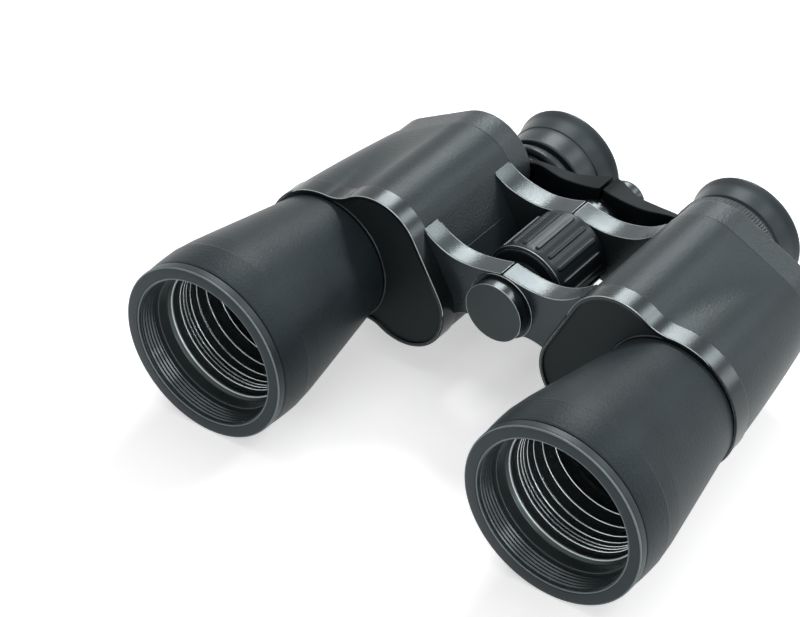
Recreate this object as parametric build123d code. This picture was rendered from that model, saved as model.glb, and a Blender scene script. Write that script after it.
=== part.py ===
from build123d import *
import math
import os

os.makedirs("parts", exist_ok=True)

# ---------------------------------------------------------------- driving dimensions, mm
# Layout frame: hinge axis on the Y axis (x = 0, z = 0), objective rims at y = 0, +Y to the eyepieces.
LENGTH = 153.0            # objective rims to eyecup rims

O = (61.8, -4.8)          # objective axis (x, z) of the +X half
H = (43.2, 7.4)           # axis of the hump, where light runs back between the two prisms
E = (33.4, -9.5)          # eyepiece axis

RIM_R = 29.0              # objective rim, outside
BARREL_MAX_R = 29.3       # widest part of the barrel, a little behind the rim
HINGE_HEIGHT = BARREL_MAX_R - O[1]   # hinge axis above the lowest point of the barrels
APERTURE_R = 24.1         # filter thread inside the rim
BARREL_REAR_R = 21.8
BAFFLE_RIDGES = (20.9, 22.9, 25.2, 27.9, 31.0, 34.5, 38.5, 43.0, 48.0)   # y of the stray-light ridges
BAFFLE_R, BAFFLE_TAPER = 20.7, 0.2375    # crest radius of the first ridge, and its fall for each mm of y
RIM_END, PLATE_Y, HOUSING_Y, COVER_Y, COVER_END = 3.2, 60.0, 67.0, 111.4, 121.0

# Sections of the housing: y, centre and radius round the objective, fillet beside the hump (None: straight).
FRONT_SECTION = (67.0, (62.2, -3.7), 22.0, 14.0)
MID_SECTION = (88.0, (62.1, -3.2), 19.9, 34.0)
REAR_SECTION = (111.4, (62.0, -2.6), 16.8, None)
HUMP_R, LOBE_R = 16.5, 15.7        # hump and eyepiece lobe
LOW_FILLET = 9.0                   # in the dip between objective and eyepiece lobe
WALL = 2.0
BAND_PROUD = 0.35
PRISM_TIP = 2.3           # half width of the flat ground on each prism's right angle

PIN_R, RING_R, SHELL_R = 5.0, 8.0, 8.3   # hinge pin, inner knuckle, bore of the outer knuckle shell
SPLIT, OCULAR_SPLIT = 0.8, 1.4           # gap between the two arms on top of a bridge
FOLD_RELIEF = 66                         # degrees below horizontal where an arm's shell ends
FRONT_BRIDGE = (65.7, 69.2, 69.5, 73.0)  # y of the left knuckle, then of the right knuckle
REAR_BRIDGE = (103.3, 107.2, 107.5, 111.4)
OCULAR_BRIDGE = (119.2, 123.3, 123.6, 127.8)

WHEEL = (77.6, 102.6)
WHEEL_R, WHEEL_FLANGE_R, WHEEL_BARS = 13.2, 13.9, 18
SPINDLE_R = 3.0
FOCUS_TRAVEL = 8.0
FIT = 0.05                # radial clearance of a running fit

EYE_TUBE_R = 10.2
EYE_SHOULDER_R = 14.4
CUP_FRONT_R, CUP_FRONT_IN_RING_R, CUP_RIM_R = 17.0, 16.4, 19.7
DIOPTER_R, DIOPTER = 18.6, (128.3, 142.4)
TO_ROW = Location((0, -LENGTH / 2, HINGE_HEIGHT))


# ---------------------------------------------------------------- helpers
def turned(profile, axis):
    """Revolves (radius, y) points about the Y-parallel axis at (x, z)."""
    plane = Plane(origin=(axis[0], 0, axis[1]), x_dir=(1, 0, 0), z_dir=(0, 0, 1))
    face = plane * make_face(Polyline(*profile, close=True))
    return revolve(face, Axis((axis[0], 0, axis[1]), (0, 1, 0)), 360)


def tube(axis, y0, y1, r_out, r_in=0.0):
    if r_in:
        return turned([(r_in, y0), (r_out, y0), (r_out, y1), (r_in, y1)], axis)
    return Plane(origin=(axis[0], y0, axis[1]), z_dir=(0, 1, 0)) * Cylinder(
        r_out, y1 - y0, align=(Align.CENTER, Align.CENTER, Align.MIN))


def at_y(sketch, y):
    """Stands an (x, z) sketch up at a station along Y."""
    return Plane.XZ.offset(-y) * sketch


def along_y(sketch, y0, y1):
    return extrude(at_y(sketch, y0), amount=-(y1 - y0))


def mirrored(shape):
    return mirror(shape, about=Plane.YZ)


def add(a, b, k=1.0):
    return (a[0] + k * b[0], a[1] + k * b[1])


def unit(a, b):
    length = math.dist(a, b)
    return ((b[0] - a[0]) / length, (b[1] - a[1]) / length)


def angle(centre, point):
    return math.atan2(point[1] - centre[1], point[0] - centre[0])


def arc(centre, radius, start, end, clockwise):
    """Arc round a centre between two of its points, as an edge."""
    a, b = angle(centre, start), angle(centre, end)
    if clockwise and b > a:
        b -= 2 * math.pi
    if not clockwise and b < a:
        b += 2 * math.pi
    mid = add(centre, (math.cos((a + b) / 2), math.sin((a + b) / 2)), radius)
    return ThreePointArc(start, mid, end)


def fillet_centre(a, ra, b, rb, r, upper):
    """Centre of the circle of radius r that touches circles a and b from outside."""
    d = math.dist(a, b)
    u = unit(a, b)
    along = ((ra + r) ** 2 - (rb + r) ** 2 + d * d) / (2 * d)
    side = math.sqrt((ra + r) ** 2 - along ** 2)
    n = (-u[1], u[0])
    if (n[1] > 0) != upper:
        n = (-n[0], -n[1])
    return add(add(a, u, along), n, side)


def tangent(a, ra, b, rb):
    """Where the outer tangent on the left of the way from circle a to circle b touches them."""
    u = unit(a, b)
    k = (ra - rb) / math.dist(a, b)
    across = math.sqrt(1 - k * k)
    m = (k * u[0] - across * u[1], k * u[1] + across * u[0])
    return add(a, m, ra), add(b, m, rb)


def body_outline(section, grow=0.0):
    """Outline of a prism housing: objective circle, hump and eyepiece lobe, blended where they meet."""
    _, o, ro, top_fillet = section
    ro, rh, re, low = ro + grow, HUMP_R + grow, LOBE_R + grow, LOW_FILLET - grow
    if top_fillet is None:
        h_out, o_top = tangent(H, rh, o, ro)
        top = Line(h_out, o_top)
    else:
        top_fillet -= grow
        ft = fillet_centre(o, ro, H, rh, top_fillet, True)
        h_out, o_top = add(H, unit(H, ft), rh), add(o, unit(o, ft), ro)
        top = arc(ft, top_fillet, h_out, o_top, False)
    fl = fillet_centre(E, re, o, ro, low, False)
    e_out, o_low = add(E, unit(E, fl), re), add(o, unit(o, fl), ro)
    e_in, h_in = tangent(E, re, H, rh)
    return make_face([
        arc(o, ro, o_top, o_low, True),
        arc(fl, low, o_low, e_out, False),
        arc(E, re, e_out, e_in, True),
        Line(e_in, h_in),
        arc(H, rh, h_in, h_out, True),
        top,
    ])


def capsule(a, ra, b, rb):
    """Everything inside the belt round two circles."""
    a1, b1 = tangent(a, ra, b, rb)
    b2, a2 = tangent(b, rb, a, ra)
    return make_face([Line(a1, b1), arc(b, rb, b1, b2, True), Line(b2, a2), arc(a, ra, a2, a1, True)])


def disc(centre, r):
    return Pos(*centre) * Circle(r)


# ---------------------------------------------------------------- objective
def objective_parts():
    """Rim ring, barrel, lens cell, doublet, retaining ring and ridged baffle of one side."""
    rim = turned([
        (APERTURE_R, 0.5), (APERTURE_R + 0.5, 0), (RIM_R - 1.3, 0), (RIM_R - 0.4, 0.35), (RIM_R, 1.2),
        (RIM_R, RIM_END), (25.3, RIM_END), (25.3, 7.6), (APERTURE_R, 7.6)], O)
    barrel = turned([
        (25.4, 3.3), (28.5, 3.3), (28.5, 4.0), (29.0, 4.0), (29.2, 8), (BARREL_MAX_R, 12), (29.1, 16), (28.6, 19.5),
        (BARREL_REAR_R + 0.35, 57.5), (BARREL_REAR_R, PLATE_Y - 0.05), (21.0, PLATE_Y - 0.05),
        (21.0, 63.5), (19.2, 63.5), (19.2, 57.0), (24.4, 24.0), (24.4, 20.2), (25.4, 20.2)], O)
    retainer = turned([(23.2, 8.0), (25.3, 8.0), (25.3, 13.3), (22.0, 13.3), (22.0, 13.0), (22.6, 12.5),
                       (23.2, 11.5)], O)
    cell = turned([
        (22.9, 13.4), (25.3, 13.4), (25.3, 20.1), (22.2, 20.1), (22.2, 19.4), (21.2, 19.1), (22.0, 18.5),
        (22.0, 18.0), (21.6, 17.8), (21.6, 17.3), (22.9, 17.3)], O)
    crown = lens(O, 22.8, 13.5, 1.1, 15.3, 0.9)
    flint = lens(O, 22.8, 15.3, -0.9, 17.2, 0.3)
    profile = [(22.0, 20.5)]
    for y in BAFFLE_RIDGES:
        r = BAFFLE_R - BAFFLE_TAPER * (y - BAFFLE_RIDGES[0])
        profile += [(r + 1.1, y - 0.3), (r, y), (r + 1.1, y + 0.7)]
    profile += [(12.6, 58.2), (12.6, 63.0), (19.0, 63.0), (19.0, 57.2), (23.4, 27.0), (23.4, 20.5)]
    baffle = turned(profile, O)
    return {"objective_rim": rim, "objective_barrel": barrel, "retaining_ring": retainer,
            "lens_cell": cell, "objective_crown": crown, "objective_flint": flint, "baffle_tube": baffle}


def lens(axis, r, y_front, front_sag, y_back, back_sag):
    """Lens with spherical faces; a positive sag bulges outwards at the centre, at the edge it is zero."""
    plane = Plane(origin=(axis[0], 0, axis[1]), x_dir=(1, 0, 0), z_dir=(0, 0, 1))

    def face_edge(y, sag, start, end):
        if abs(sag) < 1e-6:
            return Line(start, end)
        radius = (r * r + sag * sag) / (2 * abs(sag))
        half = radius - math.sqrt(radius ** 2 - (r / 2) ** 2)
        mid = (r / 2, y + sag - math.copysign(half, sag))
        return ThreePointArc(start, mid, end)

    edges = [
        face_edge(y_front, -front_sag, (0, y_front - front_sag), (r, y_front)),
        Line((r, y_front), (r, y_back)),
        face_edge(y_back, back_sag, (r, y_back), (0, y_back + back_sag)),
        Line((0, y_back + back_sag), (0, y_front - front_sag)),
    ]
    return revolve(plane * make_face(edges), Axis((axis[0], 0, axis[1]), (0, 1, 0)), 360)


# ---------------------------------------------------------------- bridges
def arm_face(top, low, hub_r, split=SPLIT):
    """One arm of a bridge seen along the hinge axis: hub shell at the inner end, root at the outer end."""
    gap = split / 2
    outline = make_face([
        Spline(*top), Line(top[-1], low[0]), Spline(*low), Line(low[-1], (gap, -hub_r + 0.4)),
        Line((gap, -hub_r + 0.4), top[0]),
    ])
    hub = disc((0, 0), hub_r) & Pos(gap, 0) * Rectangle(40, 60, align=(Align.MIN, Align.CENTER))
    face = outline + hub
    relief = math.radians(FOLD_RELIEF)
    reach = (30 * math.cos(relief), -30 * math.sin(relief))
    return face - make_face(Polyline((0, 0), reach, (-30, reach[1]), (-30, 0), close=True))


def bridge_arm(face, stations, side, hub_r, pin_r=PIN_R):
    """Arm of the +X half (side 1) or -X half (side -1, still drawn at +X) with interleaved knuckles."""
    y0, y1, y2, y3 = stations
    own, other = ((y2, y3), (y0, y1 + 0.3)) if side > 0 else ((y0, y1), (y1, y3))
    arm = along_y(face, y0, y3)
    arm -= tube((0, 0), other[0] - 1, other[1], SHELL_R) if side > 0 else tube((0, 0), other[0], y3 + 1, SHELL_R)
    arm += tube((0, 0), own[0], own[1], RING_R)
    return arm - tube((0, 0), y0 - 1, y3 + 1, pin_r + FIT)


BRIDGE_TOP = {"front": [(SPLIT / 2, 11.65), (6, 10.5), (12, 9.8), (18, 10.3), (25.6, 12.7), (33, 17.0)],
              "rear": [(SPLIT / 2, 12.2), (6, 10.7), (12, 10.0), (18, 10.7), (24, 12.5), (33, 17.5)]}
BRIDGE_LOW = [(30, -20.0), (22, -14.0), (15, -9.4), (9, -8.2), (6.2, -9.6)]


# ---------------------------------------------------------------- prism housing
def housing(side):
    """Hollow tapering shell with the arms of the front and rear bridges."""
    outer = loft([at_y(body_outline(s), s[0]) for s in (FRONT_SECTION, MID_SECTION, REAR_SECTION)], ruled=True)
    inner = loft([at_y(body_outline(FRONT_SECTION, -WALL), HOUSING_Y - 0.1),
                  at_y(body_outline(REAR_SECTION, -WALL), COVER_Y - 2.0)], ruled=True)
    shell = outer
    for name, stations in (("front", FRONT_BRIDGE), ("rear", REAR_BRIDGE)):
        face = arm_face(BRIDGE_TOP[name], BRIDGE_LOW, 11.2)
        if name == "front":
            lip = along_y(body_outline(FRONT_SECTION, BAND_PROUD + 0.2), PLATE_Y, HOUSING_Y)
            shell += bridge_arm(face, stations, side, 11.2) - lip
        else:
            shell += bridge_arm(face, stations, side, 11.2)
    shell -= inner
    rear_port = along_y(capsule(O, 11.6, H, 11.6), COVER_Y - 3, COVER_Y + 1)
    return shell - rear_port - tube(E, COVER_Y - 3, COVER_Y + 1, 12.7)


def cover_parts():
    """Front band with its face plate, and the rear cover over the rear prism."""
    front = FRONT_SECTION
    band = along_y(body_outline(front, BAND_PROUD), PLATE_Y, HOUSING_Y - 0.02)
    band -= along_y(body_outline(front, -1.3), PLATE_Y - 1, PLATE_Y + 0.8)
    band -= along_y(body_outline(front, -WALL), PLATE_Y + 3.6, HOUSING_Y + 1)
    band += tube(O, PLATE_Y, PLATE_Y + 3.6, BARREL_REAR_R + 0.1)
    band -= tube(O, PLATE_Y - 1, PLATE_Y + 5, 21.0)
    o, ro = REAR_SECTION[1], REAR_SECTION[2]
    rear = along_y(capsule(o, ro - 0.4, H, HUMP_R - 0.3), COVER_Y + 0.02, COVER_END)
    rear = chamfer(rear.faces().sort_by(Axis.Y)[-1].edges(), 1.0)
    rear += along_y(disc(E, LOBE_R - 0.4), COVER_Y + 0.02, COVER_Y + 1.6)
    rear -= tube(E, COVER_Y + 1.6, COVER_END + 1, 13.6)
    rear -= tube(E, COVER_Y - 1, COVER_END + 1, 11.7)
    cavity = along_y(capsule(o, ro - 2.4, H, HUMP_R - 2.4), COVER_Y - 1, COVER_END - 2.0)
    rear -= cavity - tube(E, 100, 130, 14.7)
    return {"front_band": band, "rear_cover": rear}


def prism(a, b, width, hyp_y, to_rear):
    """Right-angle prism whose long face spans two axes, with its ends cut square."""
    mid = ((a[0] + b[0]) / 2, (a[1] + b[1]) / 2)
    half = math.dist(a, b)
    cut = half - 1.2
    sign = 1 if to_rear else -1
    u = unit(a, b)
    plane = Plane(origin=(mid[0], hyp_y, mid[1]), x_dir=(u[0], 0, u[1]), z_dir=(-u[1], 0, u[0]))
    up = sign if plane.y_dir.Y > 0 else -sign
    tip = PRISM_TIP
    outline = Polyline((-cut, 0), (cut, 0), (cut, up * (half - cut)), (tip, up * (half - tip)),
                       (-tip, up * (half - tip)), (-cut, up * (half - cut)), close=True)
    return extrude(plane * make_face(outline), amount=width / 2, both=True)


def strap(a, b, width, apex_y, hyp_y):
    """Bent strap that holds a prism down on its shelf."""
    mid = ((a[0] + b[0]) / 2, (a[1] + b[1]) / 2)
    u = unit(a, b)
    sign = 1 if apex_y > hyp_y else -1
    plane = Plane(origin=(mid[0], 0, mid[1]), x_dir=(-u[1], 0, u[0]), z_dir=(u[0], 0, u[1]))
    flip = 1 if plane.y_dir.Y > 0 else -1
    w, t = width / 2 + 0.05, 0.7
    tip = apex_y + sign * 0.05
    pts = [(-w - t, hyp_y), (-w, hyp_y), (-w, tip), (w, tip), (w, hyp_y), (w + t, hyp_y),
           (w + t, tip + sign * t), (-w - t, tip + sign * t)]
    outline = Polyline(*[(p, q * flip) for p, q in pts], close=True)
    return extrude(plane * make_face(outline), amount=1.4, both=True)


def prism_parts():
    """Porro pair, the shelf between them and the two straps."""
    shelf_y = (88.4, 90.4)
    shelf = along_y(body_outline(MID_SECTION, -WALL - 1.4), *shelf_y)
    for axis, r in ((O, 9.0), (H, 8.2), (E, 8.2)):
        shelf -= tube(axis, shelf_y[0] - 1, shelf_y[1] + 1, r)
    front = prism(H, E, 16.5, shelf_y[0] - 0.02, False)
    rear = prism(O, H, 16.0, shelf_y[1] + 0.02, True)
    front_apex = shelf_y[0] - 0.02 - (math.dist(H, E) - PRISM_TIP)
    rear_apex = shelf_y[1] + 0.02 + (math.dist(O, H) - PRISM_TIP)
    return {"prism_shelf": shelf, "front_prism": front, "rear_prism": rear,
            "front_prism_strap": strap(H, E, 16.5, front_apex, shelf_y[0] - 0.02),
            "rear_prism_strap": strap(O, H, 16.0, rear_apex, shelf_y[1] + 0.02)}


def cover_screws():
    """Screws of the rear cover: two on the far side of the objective axis, one over the hump."""
    u, reach = unit(O, H), 11.0
    n = (-u[1], u[0])
    n = n if n[1] > 0 else (-n[0], -n[1])
    spots = [add(O, n, reach), add(O, n, -reach), add(H, n, reach)]
    screws = None
    for x, z in spots:
        head = tube((x, z), COVER_END, COVER_END + 0.5, 1.6)
        head -= Location((x, COVER_END + 0.5, z)) * Box(4, 0.6, 0.5)
        screws = head if screws is None else screws + head
    return screws


# ---------------------------------------------------------------- eyepieces
def guide_tube():
    """Fixed tube in the rear cover that the eyepiece slides in."""
    return turned([
        (EYE_TUBE_R + FIT, 110.6), (11.6, 110.6), (11.6, COVER_Y + 1.7), (13.0, COVER_Y + 1.7),
        (13.0, COVER_Y + 3.0), (12.2, COVER_Y + 3.0), (12.2, 120.8), (EYE_TUBE_R + FIT, 120.8)], E)


def eyepiece_tube():
    """Sliding tube: thin front part in the guide, shoulder in the ocular ring, sleeve for the eye barrel."""
    return turned([
        (9.2, 100.5), (EYE_TUBE_R, 100.5), (EYE_TUBE_R, 121.4), (EYE_SHOULDER_R, 121.4),
        (EYE_SHOULDER_R, 127.9), (12.5, 127.9), (12.5, 138.5), (10.9, 138.5), (10.9, 125.0), (9.2, 123.4)], E)


def eye_barrel():
    """Inner barrel with the eye lens seat; its flange carries the eyecup."""
    return turned([
        (9.5, 126.4), (10.9 - FIT, 126.4), (10.9 - FIT, 140.0), (13.2, 140.0), (13.2, 144.2), (10.6, 144.2),
        (10.6, 139.4), (9.5, 138.6)], E)


def eyecup(front_r):
    """Soft cup: rolled lip at the front, slow flare to a step, wide flare to the rim, hollow behind."""
    return turned([
        (13.4, 135.6), (front_r, 135.6), (front_r + 0.3, 136.1), (front_r, 136.9), (front_r + 0.5, 143.4),
        (17.85, 144.1), (18.8, 149.5), (CUP_RIM_R, 151.8), (CUP_RIM_R, 152.5), (CUP_RIM_R - 0.7, LENGTH),
        (CUP_RIM_R - 1.6, 152.6), (16.2, 147.5), (13.8, 144.6), (12.4, 144.6), (12.4, 144.25),
        (13.3, 144.25), (13.3, 139.6), (13.4, 139.6)], E)


def diopter_ring():
    """Ring on the sleeve, with a recess at the rear that hides the front half of the cup."""
    r = DIOPTER_R
    y0, y1 = DIOPTER
    return turned([
        (12.5 + FIT, y0), (r - 2.6, y0), (r - 1.4, y0 + 1.2), (r - 0.6, y0 + 2.4), (r - 0.5, 136.6), (r, 137.2),
        (r, y1 - 0.5), (r - 0.5, y1), (17.2, y1), (17.2, 134.0), (12.5 + FIT, 134.0)], E)


def collar_ring():
    """Plain ring in the place of the diopter ring on the other eyepiece."""
    return turned([(12.55, 128.0), (15.0, 128.0), (15.0, 130.4), (16.2, 130.4), (17.3, 131.4), (17.1, 133.0),
                   (16.4, 134.8), (12.55, 134.8)], E)


def eyepiece_lenses():
    return {"eye_lens": lens(E, 10.5, 139.9, -0.6, 142.4, 1.2),
            "eye_lens_ring": turned([(9.4, 142.8), (10.5, 142.8), (10.5, 144.0), (9.9, 144.0)], E),
            "field_lens": lens(E, 9.1, 103.4, 1.6, 105.8, 0.0)}


def ocular_arm(side):
    """Arm from the hub to the ring round the eyepiece; its rear face draws in towards the ring."""
    y0, y3 = OCULAR_BRIDGE[0], OCULAR_BRIDGE[3]
    top = [(OCULAR_SPLIT / 2, 12.4), (3, 11.7), (7, 11.1), (12, 10.7), (19, 10.7), (26, 10.4), (33.4, 8.6)]
    low = [(33.4, -22), (24, -16), (15, -9.0), (9, -7.8), (6.2, -9.6)]
    face = arm_face(top, low, 11.6, OCULAR_SPLIT)
    arm = bridge_arm(face, OCULAR_BRIDGE, side, 11.6, SPINDLE_R + 1.1)
    arm += tube(E, 121.6, 126.0, 18.2)
    relief = along_y(Pos(25.5, 0) * Rectangle(60, 80, align=(Align.MIN, Align.CENTER)), y0 - 1, 121.6)
    plan = make_face(Polyline((3.0, y3 + 0.01), (4.6, 127.0), (8.0, 125.6), (12.0, 124.4), (19, 124.0), (60, 123.6),
                              (60, y3 + 3), (3.0, y3 + 3), close=True))
    thin = extrude(Plane(origin=(0, 0, -40)) * plan, amount=80)
    thin -= tube(E, 121.6, 126.0, 18.2) + tube((0, 0), 120, y3 + 4, 10.8)
    return arm - relief - thin - tube(E, 119, 130, EYE_SHOULDER_R)


# ---------------------------------------------------------------- centre column
def centre_parts():
    """Hinge pins, focus wheel and spindle, washers and caps on the hinge axis."""
    c = (0, 0)
    pin = tube(c, 64.3, 78.4, PIN_R)
    washer = turned([(PIN_R + 0.02, 64.3), (11.6, 64.3), (12.0, 64.7), (12.0, 65.4), (PIN_R + 0.02, 65.4)], c)
    cap = turned([(0, 61.5), (8.7, 61.5), (9.0, 61.2), (9.5, 61.2), (9.87, 61.6), (9.87, 64.2), (0, 64.2)], c)
    sleeve = turned([(SPINDLE_R + FIT, 98.6), (PIN_R, 98.6), (PIN_R, 111.8), (8.85, 111.8), (8.85, 117.6),
                     (7.8, 118.7), (SPINDLE_R + FIT, 118.7)], c)
    y0, y1 = WHEEL
    wheel = turned([
        (SPINDLE_R + FIT, 80.0), (PIN_R + FIT, 80.0), (PIN_R + FIT, 73.6), (8.2, 73.6), (8.6, y0),
        (WHEEL_FLANGE_R - 1.0, y0), (WHEEL_FLANGE_R, y0 + 0.6), (WHEEL_FLANGE_R, y0 + 1.5), (WHEEL_R, y0 + 2.0),
        (WHEEL_R, y1 - 0.6), (WHEEL_R - 0.6, y1), (PIN_R + FIT, y1), (PIN_R + FIT, 97.8), (SPINDLE_R + FIT, 97.8)], c)
    bar = Location((0, (y0 + y1) / 2 + 0.3, WHEEL_R)) * Box(1.4, y1 - y0 - 4.8, 1.1)
    for i in range(WHEEL_BARS):
        wheel += bar.rotate(Axis.Y, 360 / WHEEL_BARS * (i + 0.5))
    spindle = turned([
        (0, 81.0), (SPINDLE_R - 0.5, 81.0), (SPINDLE_R, 81.5), (SPINDLE_R, 118.9), (SPINDLE_R + 1.1, 118.9),
        (SPINDLE_R + 1.1, 128.4), (2.0, 128.4), (2.0, 130.0), (0, 130.0)], c)
    end_cap = turned([(2.02, 128.45), (6.5, 128.45), (6.5, 135.4), (5.7, 136.5), (0, 137.0), (0, 130.1),
                      (2.02, 130.1)], c)
    end_washer = turned([(SPINDLE_R + 1.12, 127.95), (9.4, 127.95), (9.4, 128.4), (SPINDLE_R + 1.12, 128.4)], c)
    return {"hinge_pin": pin, "front_washer": washer, "hinge_cap": cap, "rear_hinge_sleeve": sleeve,
            "focus_wheel": wheel, "focus_spindle": spindle, "ocular_end_cap": end_cap,
            "ocular_washer": end_washer}


# ---------------------------------------------------------------- assembly
def side_parts(side):
    """Every piece of one half, drawn at +X."""
    parts = {}
    parts.update(objective_parts())
    parts.update(cover_parts())
    parts.update(prism_parts())
    parts.update(eyepiece_lenses())
    parts["prism_housing"] = housing(side)
    parts["rear_cover_screws"] = cover_screws()
    parts["eyepiece_guide"] = guide_tube()
    parts["eyepiece_tube"] = eyepiece_tube()
    parts["eye_barrel"] = eye_barrel()
    parts["eyecup"] = eyecup(CUP_FRONT_IN_RING_R if side > 0 else CUP_FRONT_R)
    parts["ocular_arm"] = ocular_arm(side)
    if side > 0:
        parts["diopter_ring"] = diopter_ring()
    else:
        parts["collar_ring"] = collar_ring()
    return parts


nodes = dict(centre_parts())
for label, side in (("left", -1), ("right", 1)):
    for name, shape in side_parts(side).items():
        nodes[f"{label}_{name}"] = mirrored(shape) if side < 0 else shape

for name, shape in nodes.items():
    export_step(TO_ROW * shape, f"parts/{name}.step")
print(len(nodes), "nodes")
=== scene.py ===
"""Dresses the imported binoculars: smooth surfaces, finishes, studio and camera."""
import logging
import math
from dataclasses import dataclass, field
from enum import Enum
from functools import cache
from typing import Callable, ClassVar, Optional, Sequence

import bmesh
import bpy
import numpy as np
from mathutils import Matrix, Vector
from mathutils.geometry import delaunay_2d_cdt


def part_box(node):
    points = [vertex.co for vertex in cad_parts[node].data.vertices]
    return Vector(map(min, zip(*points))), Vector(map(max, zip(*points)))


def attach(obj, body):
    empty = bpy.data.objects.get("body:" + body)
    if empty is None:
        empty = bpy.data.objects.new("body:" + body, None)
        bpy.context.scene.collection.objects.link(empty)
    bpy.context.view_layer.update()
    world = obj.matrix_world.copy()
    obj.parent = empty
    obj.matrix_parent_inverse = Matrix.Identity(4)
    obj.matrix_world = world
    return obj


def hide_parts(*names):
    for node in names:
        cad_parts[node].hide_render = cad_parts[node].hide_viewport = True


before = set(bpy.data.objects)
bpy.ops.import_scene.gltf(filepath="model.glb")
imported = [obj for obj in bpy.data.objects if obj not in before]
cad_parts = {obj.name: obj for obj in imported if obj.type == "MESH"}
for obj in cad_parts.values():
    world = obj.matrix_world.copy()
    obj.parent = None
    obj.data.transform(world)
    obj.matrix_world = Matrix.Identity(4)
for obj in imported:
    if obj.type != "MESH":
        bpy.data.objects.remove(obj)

LOG = logging.getLogger("binoculars")
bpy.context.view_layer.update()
MM = 1e3  # drawing units in a metre
CREASE = 32.0  # degrees: sharper edges stay sharp
MERGE = 2e-6  # metres: points closer than this are one
CLOUD = 90.0  # coarse cells of a finish in a metre
WANDER = 0.08  # share by which a finish's roughness wanders
Pair = tuple[float, float]
Triple = tuple[float, float, float]
Line = tuple[Pair, ...]


# --- names and layout
class Half(Enum):
    """The two halves; the value is the sign of x."""

    LEFT = -1
    RIGHT = 1

    @property
    def label(self) -> str:
        """Prefix of this half's node names."""
        return self.name.lower()

    @property
    def body(self) -> str:
        """CAD body of this half."""
        return f"{self.label}_half"

    @property
    def ocular(self) -> str:
        """CAD body that slides with this half's eyepiece."""
        return f"{self.label}_ocular"


def box_centre(node: str) -> Vector:
    """Returns the centre of a CAD node's box, in metres."""
    low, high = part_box(node)
    return (low + high) / 2


@dataclass(frozen=True)
class Layout:
    """Where the axes are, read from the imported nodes. Drawing units are mm from the rims and the hinge axis.

    Args:
        front: y of the objective rims in the frame, in metres.
        hinge: z of the hinge axis in the frame, in metres.
        objective: (x, z) of the objective axis from the hinge axis, in mm.
        eye: (x, z) of the eyepiece axis from the hinge axis, in mm.
        hump: (x, z) of the axis between the two prisms, in mm.
    """

    front: float
    hinge: float
    objective: Pair
    eye: Pair
    hump: Pair = (43.2, 7.4)

    @staticmethod
    def read() -> "Layout":
        """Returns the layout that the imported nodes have."""
        hinge = box_centre("hinge_cap").z
        axes = ((c.x * MM, (c.z - hinge) * MM) for c in map(box_centre, ("right_objective_rim", "right_eyecup")))
        return Layout(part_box("right_objective_rim")[0].y, hinge, *axes)

    def to_frame(self, points: np.ndarray, half: Optional[Half] = None) -> np.ndarray:
        """Carries (..., 3) points from mm of drawing into the frame, in metres, mirrored in x for the left half."""
        sign = half.value if half else 1
        return points * np.array([sign, 1.0, 1.0]) / MM + np.array([0.0, self.front, self.hinge])


LAYOUT = Layout.read()


# --- shapes as arrays
def unit(vector: np.ndarray) -> np.ndarray:
    """Returns the vector at length one, for one vector or a whole row of them."""
    return vector / np.linalg.norm(vector, axis=-1, keepdims=True)


def angles(count: int) -> np.ndarray:
    """Returns evenly spaced angles of a full turn."""
    return np.linspace(0, 2 * math.pi, count, endpoint=False)


def smooth_step(value: np.ndarray) -> np.ndarray:
    """Returns 0 below 0, 1 above 1 and 3v^2 - 2v^3 between."""
    v = np.clip(value, 0.0, 1.0)
    return v * v * (3 - 2 * v)


def circle(axis: Pair, radius: float, y: float, count: int = 160) -> np.ndarray:
    """Returns (count, 3) points of a circle round an axis along y."""
    a = angles(count)
    return np.stack([axis[0] + radius * np.cos(a), np.full(count, y), axis[1] + radius * np.sin(a)], axis=1)


def rounded(profile: Sequence[Pair], radius: float, steps: int = 4, closed: bool = True) -> np.ndarray:
    """Softens the corners of a profile.

    Each corner C becomes the arc (1-t)^2 A + 2t(1-t) C + t^2 B. A and B lie up to `radius` away from it on its two
    sides, never past 45 percent of the side.

    Args:
        profile: corners (r, y) in mm.
        radius: how far from the corner the arc starts.
        steps: points on each arc.
        closed: False keeps the first and last point as they are.

    Returns:
        (n, 2) array of points.
    """
    c = np.asarray(profile, float)
    before, after = np.roll(c, 1, axis=0) - c, np.roll(c, -1, axis=0) - c
    lb, la = np.linalg.norm(before, axis=1), np.linalg.norm(after, axis=1)
    reach = np.minimum(radius, 0.45 * np.minimum(lb, la))[:, None]
    a, b = c + before / lb[:, None] * reach, c + after / la[:, None] * reach
    t = np.linspace(0, 1, steps)[None, :, None]
    arcs = (1 - t) ** 2 * a[:, None] + 2 * t * (1 - t) * c[:, None] + t ** 2 * b[:, None]
    return arcs.reshape(-1, 2) if closed else np.vstack([c[:1], arcs[1:-1].reshape(-1, 2), c[-1:]])


def flowing(points: Sequence[Pair], steps: int) -> np.ndarray:
    """Smooth curve through points, without its last point.

    Between points 1 and 2 of each four it is the Catmull-Rom cubic
    q(t) = (2 p1 + (p2-p0) t + (2p0-5p1+4p2-p3) t^2 + (3p1-p0-3p2+p3) t^3) / 2; the ends are doubled.

    Args:
        points: points that the curve passes through.
        steps: points for each span.

    Returns:
        (n, 2) array.
    """
    p = np.asarray(points, float)
    p = np.vstack([2 * p[0] - p[1], p, 2 * p[-1] - p[-2]])
    p0, p1, p2, p3 = (p[i:len(p) - 3 + i, None, :] for i in range(4))
    t = (np.arange(steps) / steps)[None, :, None]
    curve = (2 * p1 + (p2 - p0) * t + (2 * p0 - 5 * p1 + 4 * p2 - p3) * t ** 2
             + (3 * p1 - p0 - 3 * p2 + p3) * t ** 3) / 2
    return curve.reshape(-1, 2)


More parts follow.
